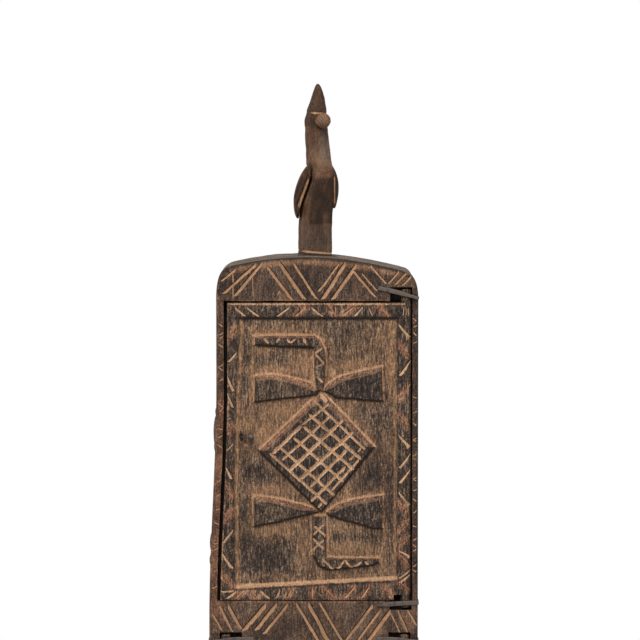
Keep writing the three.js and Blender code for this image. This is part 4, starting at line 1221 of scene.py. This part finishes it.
def door_blank(leaf, carving, edges):
    """The leaf: a carved front, a hinge edge rounded about the axis, and a plain back."""
    axis, side, foot, tall = leaf.axis, leaf.side, leaf.foot, leaf.head - leaf.foot

    def free(z):
        return side * (leaf.free(z) - axis)

    v = spread(0, 1, leaf.rows)[:, None]
    edge = 1.1
    flat = 0.97
    z = foot + edge + (tall - 2 * edge) * v
    x = axis + side * ((free(z) + edge) * (1 - spread(0, 1, leaf.columns)))
    x, z = snap(x, np.broadcast_to(z, x.shape), edges, tall / leaf.rows)
    depth = carving(x, z)["depth"]
    worn = np.minimum(np.minimum(z - foot, leaf.head - z), np.abs(x - axis - side * free(z))) - edge
    depth = depth + 0.5 * clamp(1 - worn / 2.4) ** 2
    turn = np.radians(spread(0, 90, NOSE_COLUMNS)[1:])
    radius = NOSE - depth[:, -1:] * (1 - 0.6 * turn)
    nose = at(axis + side * radius * np.sin(turn), FRONT + NOSE - radius * np.cos(turn), z[:, -1:])
    front = np.concatenate([at(x, FRONT + depth, z), nose], axis=1)

    across = np.concatenate([spread(0, 1, leaf.columns) * flat, 1 - (1 - flat) * np.cos(turn)])
    u, v = np.meshgrid(across, v)
    ring = border(*u.shape)
    u_ring, v_ring = u.ravel()[ring], v.ravel()[ring]
    front_y = front.reshape(-1, 3)[ring, 1]

    def layer(u, v, y, inset=0.0, nose_inset=0.0):
        z = foot + inset + (tall - 2 * inset) * v
        s = (free(z) + inset) * (1 - u) + (NOSE - nose_inset) * u
        return at(axis + side * s, y, z)

    back_y = FRONT + THICKNESS
    rims = [
        layer(u_ring, v_ring, most(FRONT + 1.0, front_y + 0.5), 0.15),
        layer(u_ring, v_ring, most(FRONT + 2.4, front_y + 1.2)),
        layer(u_ring[::4], v_ring[::4], FRONT + 8),
        layer(u_ring[::4], v_ring[::4], back_y - NOSE_EASE),
        layer(u_ring[::4], v_ring[::4], back_y - 1.2, 0.2, NOSE_EASE - 1.2),
    ]
    back = layer(u[::4, ::4], v[::4, ::4], back_y, 1.2, NOSE_EASE)
    marks = 0.5 * ripple((14, 20), 25, back[..., 0], back[..., 2]) - 0.5
    marks += 0.15 * ripple((5, 12), 26, back[..., 0], back[..., 2])
    back[..., 1] = np.minimum(back_y + marks, back_y)
    return skin(leaf.name + "_leaf", front, rims, back, mirrored=side < 0)


def round_bar(x, y, low, high, seed):
    """A whittled round bar, standing, with worn ends."""
    turn = circle(28)
    steps = np.array([0, 0.25, 0.8])
    z = np.concatenate([low + steps, np.linspace(low + 1.6, high - 1.6, 12), high - steps[::-1]])[:, None]
    worn = 0.35 * clamp(1 - np.minimum(z - low, high - z) / 1.6) ** 2
    size = LUG_RADIUS * (1 - worn) - 0.12 + 0.12 * ripple((0.9, 5), seed, turn, z)
    return tube("lug", at(x + size * np.cos(turn), y + size * np.sin(turn), z))


def door(leaf, carving, cuts, edges):
    axis, side = leaf.axis, leaf.side
    piece = door_blank(leaf, carving, edges)
    x = sorted((axis - side * (LUG_RADIUS + 7), axis + side * (NOSE + 5)))
    notch_head = leaf.foot + FOOT_NOTCH
    low = (x[0], FRONT - 5, leaf.foot - 5)
    cut(piece, block(low, (x[1], FRONT + THICKNESS + 5, notch_head), 2.5, 0.2, 71))
    join(piece, round_bar(axis, FRONT + NOSE, leaf.head - 5, leaf.ceiling + LUG_RISE, 72))
    join(piece, round_bar(axis, FRONT + NOSE, leaf.floor - LUG_DROP, notch_head + 5, 73))

    def surface(x, z):
        round_nose = np.clip(side * (x - axis), 0, 0.94 * NOSE)
        return carving(x, z)["depth"] + NOSE - np.sqrt(NOSE ** 2 - round_nose ** 2)

    incise(piece, cuts, surface, 600)
    return piece


# Iron
STAPLE_WIDTH = 4.4
STAPLE_THICK = 1.5
STAPLE_CORNER = 0.28
STAPLE_REACH = 28.3
STAPLE_HOOK = 16
TOP_STAPLE_RISE = 5.9
BOTTOM_STAPLE_DROP = 2.2
UPPER_TOP_TILT = 14.5
LOWER_TOP_TILT = 3
BOTTOM_TILT = -4
NAIL_RADIUS = 1.3
# Lump on the nail's end, as distance along the nail and radius
NAIL_HEAD = [(0, 1.6), (0.4, 2.8), (1.3, 3.6), (2.9, 3.8), (4.2, 3.3), (5.1, 2.4), (5.6, 1.2), (5.7, 0.4)]


def swept(corners, radii, pace):
    """A path in plan through rounded corners, the distance run along it, and its unit vectors."""
    corners = [np.array(corner, float) for corner in corners]
    path = [corners[0]]
    for before, here, after, radius in zip(corners, corners[1:], corners[2:], radii):
        start = here - unit(here - before) * radius
        end = here + unit(after - here) * radius
        path += [quadratic(start, here, end, t) for t in spread(0, 1, 5)]
    path.append(corners[-1])
    fine = [path[0]]
    for a, b in zip(path, path[1:]):
        steps = max(1, int(np.linalg.norm(b - a) / pace))
        fine += [a + (b - a) * k / steps for k in range(1, steps + 1)]
    fine = np.array(fine)
    run = run_along(fine)
    tangent = unit(np.gradient(fine, run, axis=0))
    return fine, run, tangent, np.stack([tangent[:, 1], -tangent[:, 0]], axis=-1)


def around(path, normal, across, up):
    """Rings about a path in plan, from their offsets to its side and their heights."""
    flat = path[:, None] + across[..., None] * normal[:, None]
    return at(flat[..., 0], flat[..., 1], up)


def staple(leaf, level, tilt, ends, seed):
    """A forged strip over a lug: a prong at one end, the other wrapped round the side and hooked in.
    ends says how much of its height is left at the prong and at the hook."""
    outer = HALF - abs(leaf.axis) - 0.6 + STAPLE_THICK / 2
    face = FRONT - 0.35 - STAPLE_THICK / 2
    end = FRONT + STAPLE_HOOK - STAPLE_THICK / 2
    prong = -STAPLE_REACH
    corners = [(prong, FRONT + 9), (prong, face), (outer, face), (outer, end), (outer - 4, end - 0.4)]
    path, run, _, normal = swept(corners, [1.4, 1.5, 1.2], 0.9)
    section = []
    for quarter, (across, up) in enumerate([(1, 1), (-1, 1), (-1, -1), (1, -1)]):
        turn = math.pi / 2 * (quarter + spread(0, 1, 4))
        round_part = STAPLE_CORNER * np.stack([np.cos(turn), np.sin(turn)], axis=-1)
        section.append((0.5 - STAPLE_CORNER) * np.array([across, up]) + round_part)
    section = np.concatenate(section)
    tall = STAPLE_WIDTH * (1 - (1 - ends[0]) * (1 - ease(run, 9, 22)))
    tall = tall * (1 - (1 - ends[1]) * ease(run, 32, 44)) * (1 + 0.05 * ripple((5,), seed, run))
    thick = STAPLE_THICK * (1 + 0.08 * ripple((4,), seed + 1, run)) * (0.75 + 0.25 * ease(run, 0, 9))
    bow = 0.55 * np.sin(math.pi * clamp((run - 9) / 42))
    up = section[:, 1] * tall[:, None] + bow[:, None]
    rings = around(path, normal, section[:, 0] * thick[:, None], up)
    rings[..., 1] += 0.09 * ripple((1.3, 1.3, 1.3), seed + 2, *np.moveaxis(rings, -1, 0))
    angle = math.radians(leaf.side * tilt)
    across, up = rings[..., 0] * leaf.side, rings[..., 2].copy()
    rings[..., 0] = leaf.axis + across * math.cos(angle) + up * math.sin(angle)
    rings[..., 2] = level - across * math.sin(angle) + up * math.cos(angle)
    return rings if leaf.side < 0 else rings[:, ::-1]


def pull_rings(leaf, z):
    """A hand-made nail, bent over towards the hinge."""
    side = leaf.side
    x = float(leaf.free(z)) + side * NAIL_INSET
    knee = FRONT - 0.5
    corners = [(x, FIELD + 7), (x, FIELD + 0.4), (x + side * 0.8, knee), (x + side * 10.6, knee - 2.2)]
    path, run, tangent, normal = swept(corners, [1.2, 1.6], 0.6)
    turn = circle(16)
    size = NAIL_RADIUS * (0.92 + 0.08 * np.cos(run * 1.7))[:, None]
    shank = around(path, normal, size * np.cos(turn), z - size * np.sin(turn))
    out, size = np.array(NAIL_HEAD).T[..., None]
    turn = circle(18)
    size = size * (1 + 0.08 * np.cos(6 * turn + 0.5) + 0.04 * np.cos(2 * turn))
    lump = path[-1] - tangent[-1] * 3.2 + tangent[-1] * out
    return shank, around(lump, normal[-1:], size * np.cos(turn), z - size * np.sin(turn))


# Masks, worked out again where the finished pieces' points lie
DOOR_MASKS = ("scrape", "rub", "dirt", "soot", "line", "crest")


def on_front(y, depth):
    """1 on a carved front of some depth, and 0 behind it."""
    return 1 - ease(y - FRONT - depth, 0.5, 1.7)


def paint_body(body):
    x, y, z = places(body).T
    depth, edge = front_of_body(x, z)
    front = on_front(y, depth)
    below_arch = arch(x) - z
    mottle = 0.5 + 0.5 * ripple((6, 6), 15, x, z)
    blotch = 0.5 + 0.5 * ripple((30, 30, 40), 81, x, y, z)
    adzed = hewn_side(x, y, z)
    behind = ease(y, FRONT + 6, FRONT + 12) * (edge > 4)
    outer_edge = clamp(1 - (x - left_side(z)) / 6) * (y < FRONT + 6)
    left_stile = (1 - ease(x, -92, -88)) * span(z, LOWER_CEILING, UPPER_FLOOR, 575, 600)
    # Worn band below the arch's front edge, partly painted light where its rounding catches the light.
    band = span(below_arch, 1.8, 3.6, 5, 10) * (1 - ease(np.abs(x), 82, 92))
    # A dark line along the arch's front edge.
    arris = bell(below_arch - 0.5, 1.2) * (y < FRONT + 4)
    # Painted shadow round the foot of the post.
    post_foot = bell(most(np.hypot(x - FINIAL_X, (y - FINIAL_Y) * 0.95) - 20, 0), 2.5) * (z > CROWN - 6)
    top_rail = ease(z, UPPER_CEILING, UPPER_CEILING + 6) * (1 - band)
    patch = bell(x - 63, 5) * bell(z - 342, 8)
    paint(
        body,
        scrape=most(
            0.7 * clamp(ripple((14, 14, 30), 82, x, y, z) - 0.25), 0.4 * ease(adzed, 0.0, 0.35) * behind,
            0.8 * patch * front, 0.45 * band * front,
        ),
        rub=most(
            clamp(1.3 - edge / 2.0) * (0.4 + 0.5 * mottle) * front, outer_edge * (0.4 + 0.5 * blotch),
            0.75 * left_stile * front, 0.65 * band * front,
        ),
        dirt=most(0.75 * arris, post_foot),
        soot=most(
            front * np.clip(depth - 0.6, 0, 0.6) * (x > 0), 0.3 * front * top_rail,
            0.5 * (1 - ease(adzed, -0.9, -0.2)) * behind,
        ),
        # Painted sheen: the top, seen at a glance, turns pale grey as a painted reflection.
        grey=0.85 * ease(y, FRONT + 3, FRONT + 7) * (1 - ease(below_arch, 8, 30)),
        # Painted shade on what lies a little behind the front, most of all inside the openings.
        gloom=span(y, FRONT + 4, FRONT + 7, FRONT + 12, FRONT + 20),
    )


def paint_bird(bird):
    points = places(bird)
    x, y, z = points.T
    share = (z - CROWN) / FINIAL_HEIGHT
    across = x - FINIAL_X
    eye = np.full(len(points), FAR)
    stroke = np.zeros(len(points))
    for centre in eye_centres():
        distance = np.linalg.norm(points - centre, axis=1) - EYE_RADIUS
        stroke = np.where(distance < 1, eye_strokes(points, centre), stroke)
        eye = np.minimum(eye, distance)
    on_eye = clamp(1 - eye / 0.4) * (eye < 0.35)
    # Painted shadow under the eyes.
    eye_shadow = clamp(1 - eye / 2.6) * (1 - on_eye) * (share < 0.775)
    panel = span(share, 0.176, 0.196, 0.43, 0.47) * ease(across, -8, -2) * (across < 19)
    wing_edge = POST * (-0.22 + 3.85 * (share - 0.459))
    on_wing = most(
        (1 - ease(across - wing_edge, -2.5, -0.5)) * span(share, 0.2, 0.22, 0.5, 0.55),
        ease(across, POST + 1, POST + 3) * (share < 0.54),
    )
    low = (1 - ease(share, 0.165, 0.18)) * (across > -10)
    # The right faces, painted paler as lit.
    lit_right_face = span(share, 0.52, 0.56, 0.72, 0.76) * ease(across, 2, 6)
    paint(
        bird,
        # The eyes are painted paler: pale wood, with painted highlight.
        scrape=0.7 * on_eye * (1 - stroke) + 0.3 * clamp(ripple((6, 6, 14), 83, x, y, z)),
        # Red-brown: the band at the shoulders is a painted highlight; the left side and the cap are red-brown
        # wood.
        rub=most(
            0.45 * bell(share - 0.47, 0.04) + 0.3 * ease(share, 0.83, 0.9),
            0.35 * (1 - ease(across, -9, -3)) * (share < 0.8),
        ),
        # Painted shadow under the eyes and below the cut round the post's foot, and darker strokes on the
        # eyes.
        dirt=most(eye_shadow, 0.25 * on_eye * stroke, near(z - post_line(x) + 2.6, 2.4)),
        soot=most(panel, 0.5 * ease(share, 0.74, 0.76) * (1 - on_eye), 0.6 * on_wing),
        # Painted light: paler grey on the eyes, the lit right faces and the foot of the post.
        grey=most(0.45 * low, 0.5 * on_eye, 0.6 * lit_right_face),
        line=most(
            near(z - brow(x), 1.9) * (1 - on_eye) * ease(across, -9, 0),
            0.45 * near(z - jaw(x), 1.8) * (across < 2), near(z - post_line(x), 2.0) * (y < FINIAL_Y - 6),
        ),
    )


def paint_door(piece, carving):
    x, y, z = places(piece).T
    found = carving(x, z)
    front = on_front(y, found["depth"])
    back = ease(y, FRONT + THICKNESS - 3, FRONT + THICKNESS - 0.5)
    edge = (1 - front) * (1 - back)
    masks = Masks((name, found[name] * front) for name in DOOR_MASKS)
    # The door's edges are painted darker as shade in the gaps, over a little red wear, and its back is
    # painted darker as shade.
    masks.add(rub=0.25 * edge, dirt=0.45 * edge, gloom=back)
    paint(piece, **masks)


# Finishes


def shade(red, green, blue):
    """A display colour from 0 to 255 as the linear values that shaders take."""
    channels = []
    for channel in (red, green, blue):
        share = channel / 255
        channels.append(share / 12.92 if share <= 0.04045 else ((share + 0.055) / 1.055) ** 2.4)
    return (*channels, 1)


def sums(operation, swapped=False):
    """An operator between two signals, or a signal and a number."""
    def operator(self, other):
        first, second = (other, self) if swapped else (self, other)
        return self.tree.node("Math", {0: first, 1: second}, {"operation": operation})
    return operator


class Signal:
    """An output in a node tree, which arithmetic adds nodes to."""

    def __init__(self, tree, socket):
        self.tree = tree
        self.socket = socket

    __add__ = __radd__ = sums("ADD")
    __sub__ = sums("SUBTRACT")
    __rsub__ = sums("SUBTRACT", swapped=True)
    __mul__ = __rmul__ = sums("MULTIPLY")
    larger = sums("MAXIMUM")

    def between(self, low, high):
        """0 below low, 1 above high, and a smooth change between."""
        values = {"Value": self, "From Min": low, "From Max": high}
        return self.tree.node("MapRange", values, {"interpolation_type": "SMOOTHSTEP"})


class Tree:
    """A node tree that is built up call by call."""

    def __init__(self, owner):
        owner.use_nodes = True
        self.tree = owner.node_tree
        self.tree.nodes.clear()

    def node(self, kind, values=None, settings=None, output=0):
        made = self.tree.nodes.new("ShaderNode" + kind)
        for name, value in (settings or {}).items():
            if name == "stops":
                ramp = made.color_ramp
                while len(ramp.elements) < len(value):
                    ramp.elements.new(1.0)
                for element, (position, colour) in zip(ramp.elements, value):
                    element.position = position
                    element.color = colour
            else:
                setattr(made, name, value)
        for place, value in (values or {}).items():
            if isinstance(value, Signal):
                self.tree.links.new(value.socket, made.inputs[place])
            else:
                made.inputs[place].default_value = value
        return Signal(self, made.outputs[output] if made.outputs else None)

    def blend(self, share, first, second):
        """One colour turning to another as the share goes from 0 to 1."""
        return self.node("Mix", {0: share, 6: first, 7: second}, {"data_type": "RGBA"}, 2)

    def ramp(self, value, colours):
        """Colours from the darkest to the palest, for values from 0 to 1."""
        stops = zip((0.0, 0.3, 0.45, 0.58, 0.72, 0.92), [shade(*colour) for colour in colours])
        return self.node("ValToRGB", {"Fac": value}, {"stops": list(stops)})

    def noise(self, across, along, detail=3.0, roughness=0.55, waver=0.0):
        """Noise that is drawn out along the grain. across and along are its repeats to the metre."""
        spot = self.node("TexCoord", output="Object")
        stretched = self.node("Mapping", {"Vector": spot, "Scale": (across, across, along)})
        values = {"Scale": 1.0, "Detail": detail, "Roughness": roughness, "Distortion": waver}
        return self.node("TexNoise", {"Vector": stretched, **values})

    def mask(self, name):
        return self.node("Attribute", None, {"attribute_name": name}, "Fac")

    def seen_directly(self):
        """1 for rays from the camera, also by way of metal or glass."""
        rays = ("Is Camera Ray", "Is Glossy Ray", "Is Transmission Ray")
        camera, glossy, through = [self.node("LightPath", output=ray) for ray in rays]
        return camera.larger(glossy).larger(through)

    def surface(self, height, strength, distance, values):
        """The material's surface, with a bump from a height."""
        bump = self.node("Bump", {"Height": height, "Strength": strength, "Distance": distance})
        made = self.node("BsdfPrincipled", {**values, "Normal": bump})
        self.node("OutputMaterial", {"Surface": made})


# Colours of the wood from its deepest grain to its palest
SLATE = [(26, 22, 20), (46, 38, 34), (76, 65, 57), (105, 91, 80), (136, 120, 105), (172, 155, 136)]
RED = [(38, 23, 18), (74, 46, 35), (108, 72, 54), (140, 98, 74), (168, 124, 96), (196, 154, 122)]
TAN = [(84, 58, 42), (118, 86, 62), (146, 109, 80), (172, 130, 97), (195, 153, 118), (220, 184, 148)]
PATINA_BODY = [(26, 21, 18), (44, 35, 30), (76, 58, 46), (106, 81, 63), (140, 109, 84), (182, 146, 112)]
PATINA_BIRD = [(24, 15, 9), (50, 33, 21), (84, 59, 41), (114, 86, 64), (146, 114, 88), (186, 150, 120)]
PATINA_DOOR = [(28, 23, 20), (48, 39, 34), (80, 64, 52), (112, 88, 68), (146, 115, 87), (188, 152, 116)]
SHADED_WALL = PATINA_BIRD
# Painted light and shade: a highlight for crests, a dark shade with some dirt, and the shade of hollows.
LIT_CREST = shade(172, 132, 106)
NICKED = shade(120, 88, 60)
PIT = shade(30, 24, 20)
SHADE_AND_DIRT = shade(30, 23, 19)
INNER_SHADE = shade(20, 15, 12)


def wood(name, patina, level, streaks, specks, coolness, cut_level):
    """Old oiled wood: dark patina over open vertical grain, with masks for what has been cut or worn, and for
    painted light and shade.
    """
    material = bpy.data.materials.new(name)
    tree = Tree(material)
    fibre = tree.noise(700, 150, 3, 0.62, 0.5)
    column = tree.noise(210, 16, 2, 0.6, 0.5)
    pores = tree.noise(800, 75, 2, 0.6, 0.3)
    fleck = tree.noise(720, 560, 2, 0.65)
    cloud = tree.noise(100, 55)
    blotch = tree.noise(26, 15)
    mask = {each: tree.mask(each) for each in DOOR_MASKS + ("grey", "gloom") + KINDS[1:]}
    scrape, soot, grey, gloom, line = [mask[key] for key in ("scrape", "soot", "grey", "gloom", "line")]
    grain = ((fibre - 0.5) * 1.2 + (column - 0.5) * 0.3) * streaks + (fleck - 0.5) * specks
    tone = grain * (soot * 0.3 + 1) + (cloud - 0.5) * 0.36 + (blotch - 0.5) * 0.36 + level
    # Darker a little behind the front, as painted shade.
    tone = tone + scrape * 0.16 - soot * 0.2 - gloom * 0.12
    old = tree.ramp(tone, patina)
    slate = ((blotch + cloud * 0.5).between(0.7, 0.88) * 0.6 + soot) * coolness - scrape * 0.5
    # Grey as painted sheen on glancing tops and lit faces, and slate where the patina is cool.
    colour = tree.blend(slate + grey * 0.9, old, tree.ramp(tone + grey * 0.1, SLATE))
    # Red-brown where worn, and on slopes that look up as painted light.
    rubbed_and_lit = mask["rub"].larger(mask["facet"]) * (0.55 + cloud * 0.7)
    colour = tree.blend(rubbed_and_lit.between(0.12, 0.95) * 0.9, colour, tree.ramp(tone + 0.04, RED))
    worn = scrape * (0.5 + cloud.between(0.35, 0.65) * 0.35)
    colour = tree.blend(worn, colour, tree.ramp(grain * 0.7 + 0.44, TAN))
    pit = pores.between(0.56, 0.63) * (1 - scrape * 0.6) * streaks
    colour = tree.blend(pit * 0.7, colour, PIT)
    broken = (cloud - 0.5) * 0.7 + (fleck - 0.5) * 0.5 + (blotch - 0.5) * 0.6
    # Pale lines of cut wood, brighter along edges that look up as painted highlight.
    edge_line = (line + broken).between(0.3, 0.6)
    colour = tree.blend(edge_line, colour, tree.ramp(grain * 0.7 + line * 0.25 + 0.46, TAN))
    # Painted highlight on crests that look up.
    lit_crest_line = (mask["crest"] + (cloud - 0.5) * 0.7).between(0.45, 0.9)
    colour = tree.blend(lit_crest_line * 0.3, colour, LIT_CREST)
    # Painted shade under forms and in gaps, with some dirt.
    dirt = (mask["dirt"] + (cloud - 0.5) * 0.3).between(0.1, 0.85)
    colour = tree.blend(dirt * 0.85, colour, SHADE_AND_DIRT)
    nicked = (fleck * 0.6 + cloud * 0.5).between(0.55, 0.68)
    cut_wood = tree.blend(nicked * 0.65, tree.ramp(grain * 0.7 + cut_level, TAN), NICKED)
    colour = tree.blend(mask["fresh"], colour, cut_wood)
    # Walls that look down, painted dark as shade.
    colour = tree.blend(mask["shaded"], colour, tree.ramp(grain + 0.3, SHADED_WALL))
    # Hollows, painted darker further back as shade.
    colour = tree.blend(mask["inside"], colour, tree.blend(gloom * 0.9, old, INNER_SHADE))
    rough = 0.6 + fibre * 0.2 + mask["fresh"] * 0.1
    height = fibre * 1.1 + column * 0.5 - pit * 0.6 + cloud * 0.3 + fleck * 0.4
    tree.surface(height, 0.9, 0.0011, {"Base Color": colour, "Roughness": rough, "Specular IOR Level": 0.22})
    return material


def iron(name):
    """Hand-forged iron gone dull grey-brown, with rust in the pits."""
    material = bpy.data.materials.new(name)
    tree = Tree(material)
    cloud = tree.noise(260, 260, 4)
    fine = tree.noise(1300, 1300)
    rust = (cloud * 0.7 + fine * 0.4).between(0.5, 0.68)
    colour = tree.blend(cloud.between(0.3, 0.7), shade(64, 57, 53), shade(108, 99, 92))
    colour = tree.blend(rust * 0.7, colour, shade(96, 70, 54))
    # The nail's shank and underside, painted dark as shade.
    colour = tree.blend(tree.mask("dirt") * 0.85, colour, shade(34, 28, 25))
    rough = 0.48 + fine * 0.2 + rust * 0.15
    tree.surface(cloud * 0.6 + fine * 0.5, 0.6, 0.0004, {
        "Base Color": colour, "Roughness": rough, "Metallic": 0.35,
    })
    return material


BODY_WOOD = wood(
    "old_body_wood", PATINA_BODY, level=0.47, streaks=0.5, specks=0.8, coolness=0.3, cut_level=0.62)
BIRD_WOOD = wood(
    "handled_finial_wood", PATINA_BIRD, level=0.45, streaks=0.25, specks=0.35, coolness=0.0, cut_level=0.56)
DOOR_WOOD = wood(
    "old_door_wood", PATINA_DOOR, level=0.5, streaks=1.0, specks=0.9, coolness=0.45, cut_level=0.76)
FORGED_IRON = iron("dull_iron")
WOOD_SHARP = 50
IRON_SHARP = 40


def finish_piece(piece, material, body, node, sharp):
    settle(piece, material, sharp)
    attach(piece, body)
    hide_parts(node)


case = carved_body()
paint_body(case)
finish_piece(case, BODY_WOOD, "case", "carved_body", WOOD_SHARP)
finial = bird_finial()
paint_bird(finial)
finish_piece(finial, BIRD_WOOD, "case", "carved_body", WOOD_SHARP)

for leaf in [UPPER] + LOWER_LEAVES:
    if leaf is UPPER:
        carving, cuts, edges = upper_carving, UPPER_CUTS, edges_of(UPPER_FIELD, UPPER_FORMS, leaf.foot)
        nail_z = leaf.foot + NAIL_HEIGHT
        top_tilt = UPPER_TOP_TILT
    else:
        carving, cuts, edges = lower_carving_of(leaf)
        nail_z = leaf.foot + (leaf.head - leaf.foot) / 2
        top_tilt = LOWER_TOP_TILT
    piece = door(leaf, carving, cuts, edges)
    paint_door(piece, carving)
    finish_piece(piece, DOOR_WOOD, leaf.body, leaf.name, WOOD_SHARP)

    shank, head = pull_rings(leaf, nail_z)
    nail = tube(leaf.name + "_nail", shank)
    join(nail, tube("head", head))
    points = places(nail)
    # The shank and the nail's lower half are painted dark as shade; the head stays bright.
    from_head = np.linalg.norm(points - np.mean(head[3], axis=0), axis=1)
    lower = ease(nail_z - points[:, 2], -1.0, 2.0)
    paint(nail, dirt=most(ease(from_head, 3.9, 4.3), 0.8 * lower))
    finish_piece(nail, FORGED_IRON, leaf.body, leaf.name + "_pull", IRON_SHARP)
    for place, height, tilt, ends in [
        ("top", leaf.ceiling + TOP_STAPLE_RISE, top_tilt, (0.95, 0.68)),
        ("bottom", leaf.floor - BOTTOM_STAPLE_DROP, BOTTOM_TILT, (0.4, 1.0)),
    ]:
        strip = tube(leaf.name + "_" + place + "_strip", staple(leaf, height, tilt, ends, 90))
        node = leaf.name + "_" + place + "_staple"
        finish_piece(strip, FORGED_IRON, "case", node, IRON_SHARP)


# Floor and background
FLOOR_RADIUS = 1500
FLOOR_POINTS = 96
WHITE = (1, 1, 1, 1)
FILL = 0.46


def floor_disc():
    turn = circle(FLOOR_POINTS)
    rim = at(FLOOR_RADIUS * np.cos(turn), FLOOR_RADIUS * np.sin(turn), 0)
    faces = np.array([(0, k, k % FLOOR_POINTS + 1) for k in range(1, FLOOR_POINTS + 1)])
    disc = new_piece("floor", np.concatenate([np.zeros((1, 3)), rim]), [faces])
    material = bpy.data.materials.new("white_floor")
    tree = Tree(material)
    spot = tree.node("TexCoord", output="Object")
    reach = tree.node("VectorMath", {0: spot}, {"operation": "LENGTH"}, "Value")
    white = tree.node("Emission", {"Color": WHITE, "Strength": 1.0})
    matt = tree.node("BsdfDiffuse", {"Color": (0.9, 0.9, 0.9, 1)})
    share = tree.seen_directly() * reach.between(0.2, 0.9)
    tree.node("OutputMaterial", {"Surface": tree.node("MixShader", {0: share, 1: matt, 2: white})})
    disc.data.materials.clear()
    disc.data.materials.append(material)
    return disc


floor_disc()

world = bpy.data.worlds.new("white_room")
bpy.context.scene.world = world
surroundings = Tree(world)
brightness = FILL + surroundings.seen_directly() * (1 - FILL)
background = surroundings.node("Background", {"Color": WHITE, "Strength": brightness})
surroundings.node("OutputWorld", {"Surface": background})


def place_object(name, data, place, towards):
    made = bpy.data.objects.new(name, data)
    bpy.context.scene.collection.objects.link(made)
    made.location = place
    made.rotation_euler = Vector(towards).to_track_quat("-Z", "Y").to_euler()
    return made


LAMP_PLACE = np.array([-0.35, -1.5, 2.2])
LAMP_AIM = np.array([0, 0, 0.5])
lamp = bpy.data.lights.new("key", "AREA")
lamp.shape = "RECTANGLE"
lamp.size = 1.3
lamp.size_y = 0.9
lamp.energy = 42
place_object("key", lamp, LAMP_PLACE, LAMP_AIM - LAMP_PLACE)

# Camera: level with the middle of the picture, three metres off and a little above
PICTURE_WIDTH = 640
SENSOR = 36.0
DISTANCE = 3000.0
AIM = np.array([6.5, -65.0, 655.0])
LOOK_DOWN = math.radians(3.6)
lens = bpy.data.cameras.new("camera")
lens.sensor_width = SENSOR
lens.lens = SENSOR * DISTANCE / PICTURE_WIDTH
offset = np.array([0, -math.cos(LOOK_DOWN), math.sin(LOOK_DOWN)]) * DISTANCE
bpy.context.scene.camera = place_object("camera", lens, (AIM + offset) / METRE, -offset)
bpy.context.scene.view_settings.view_transform = "Standard"
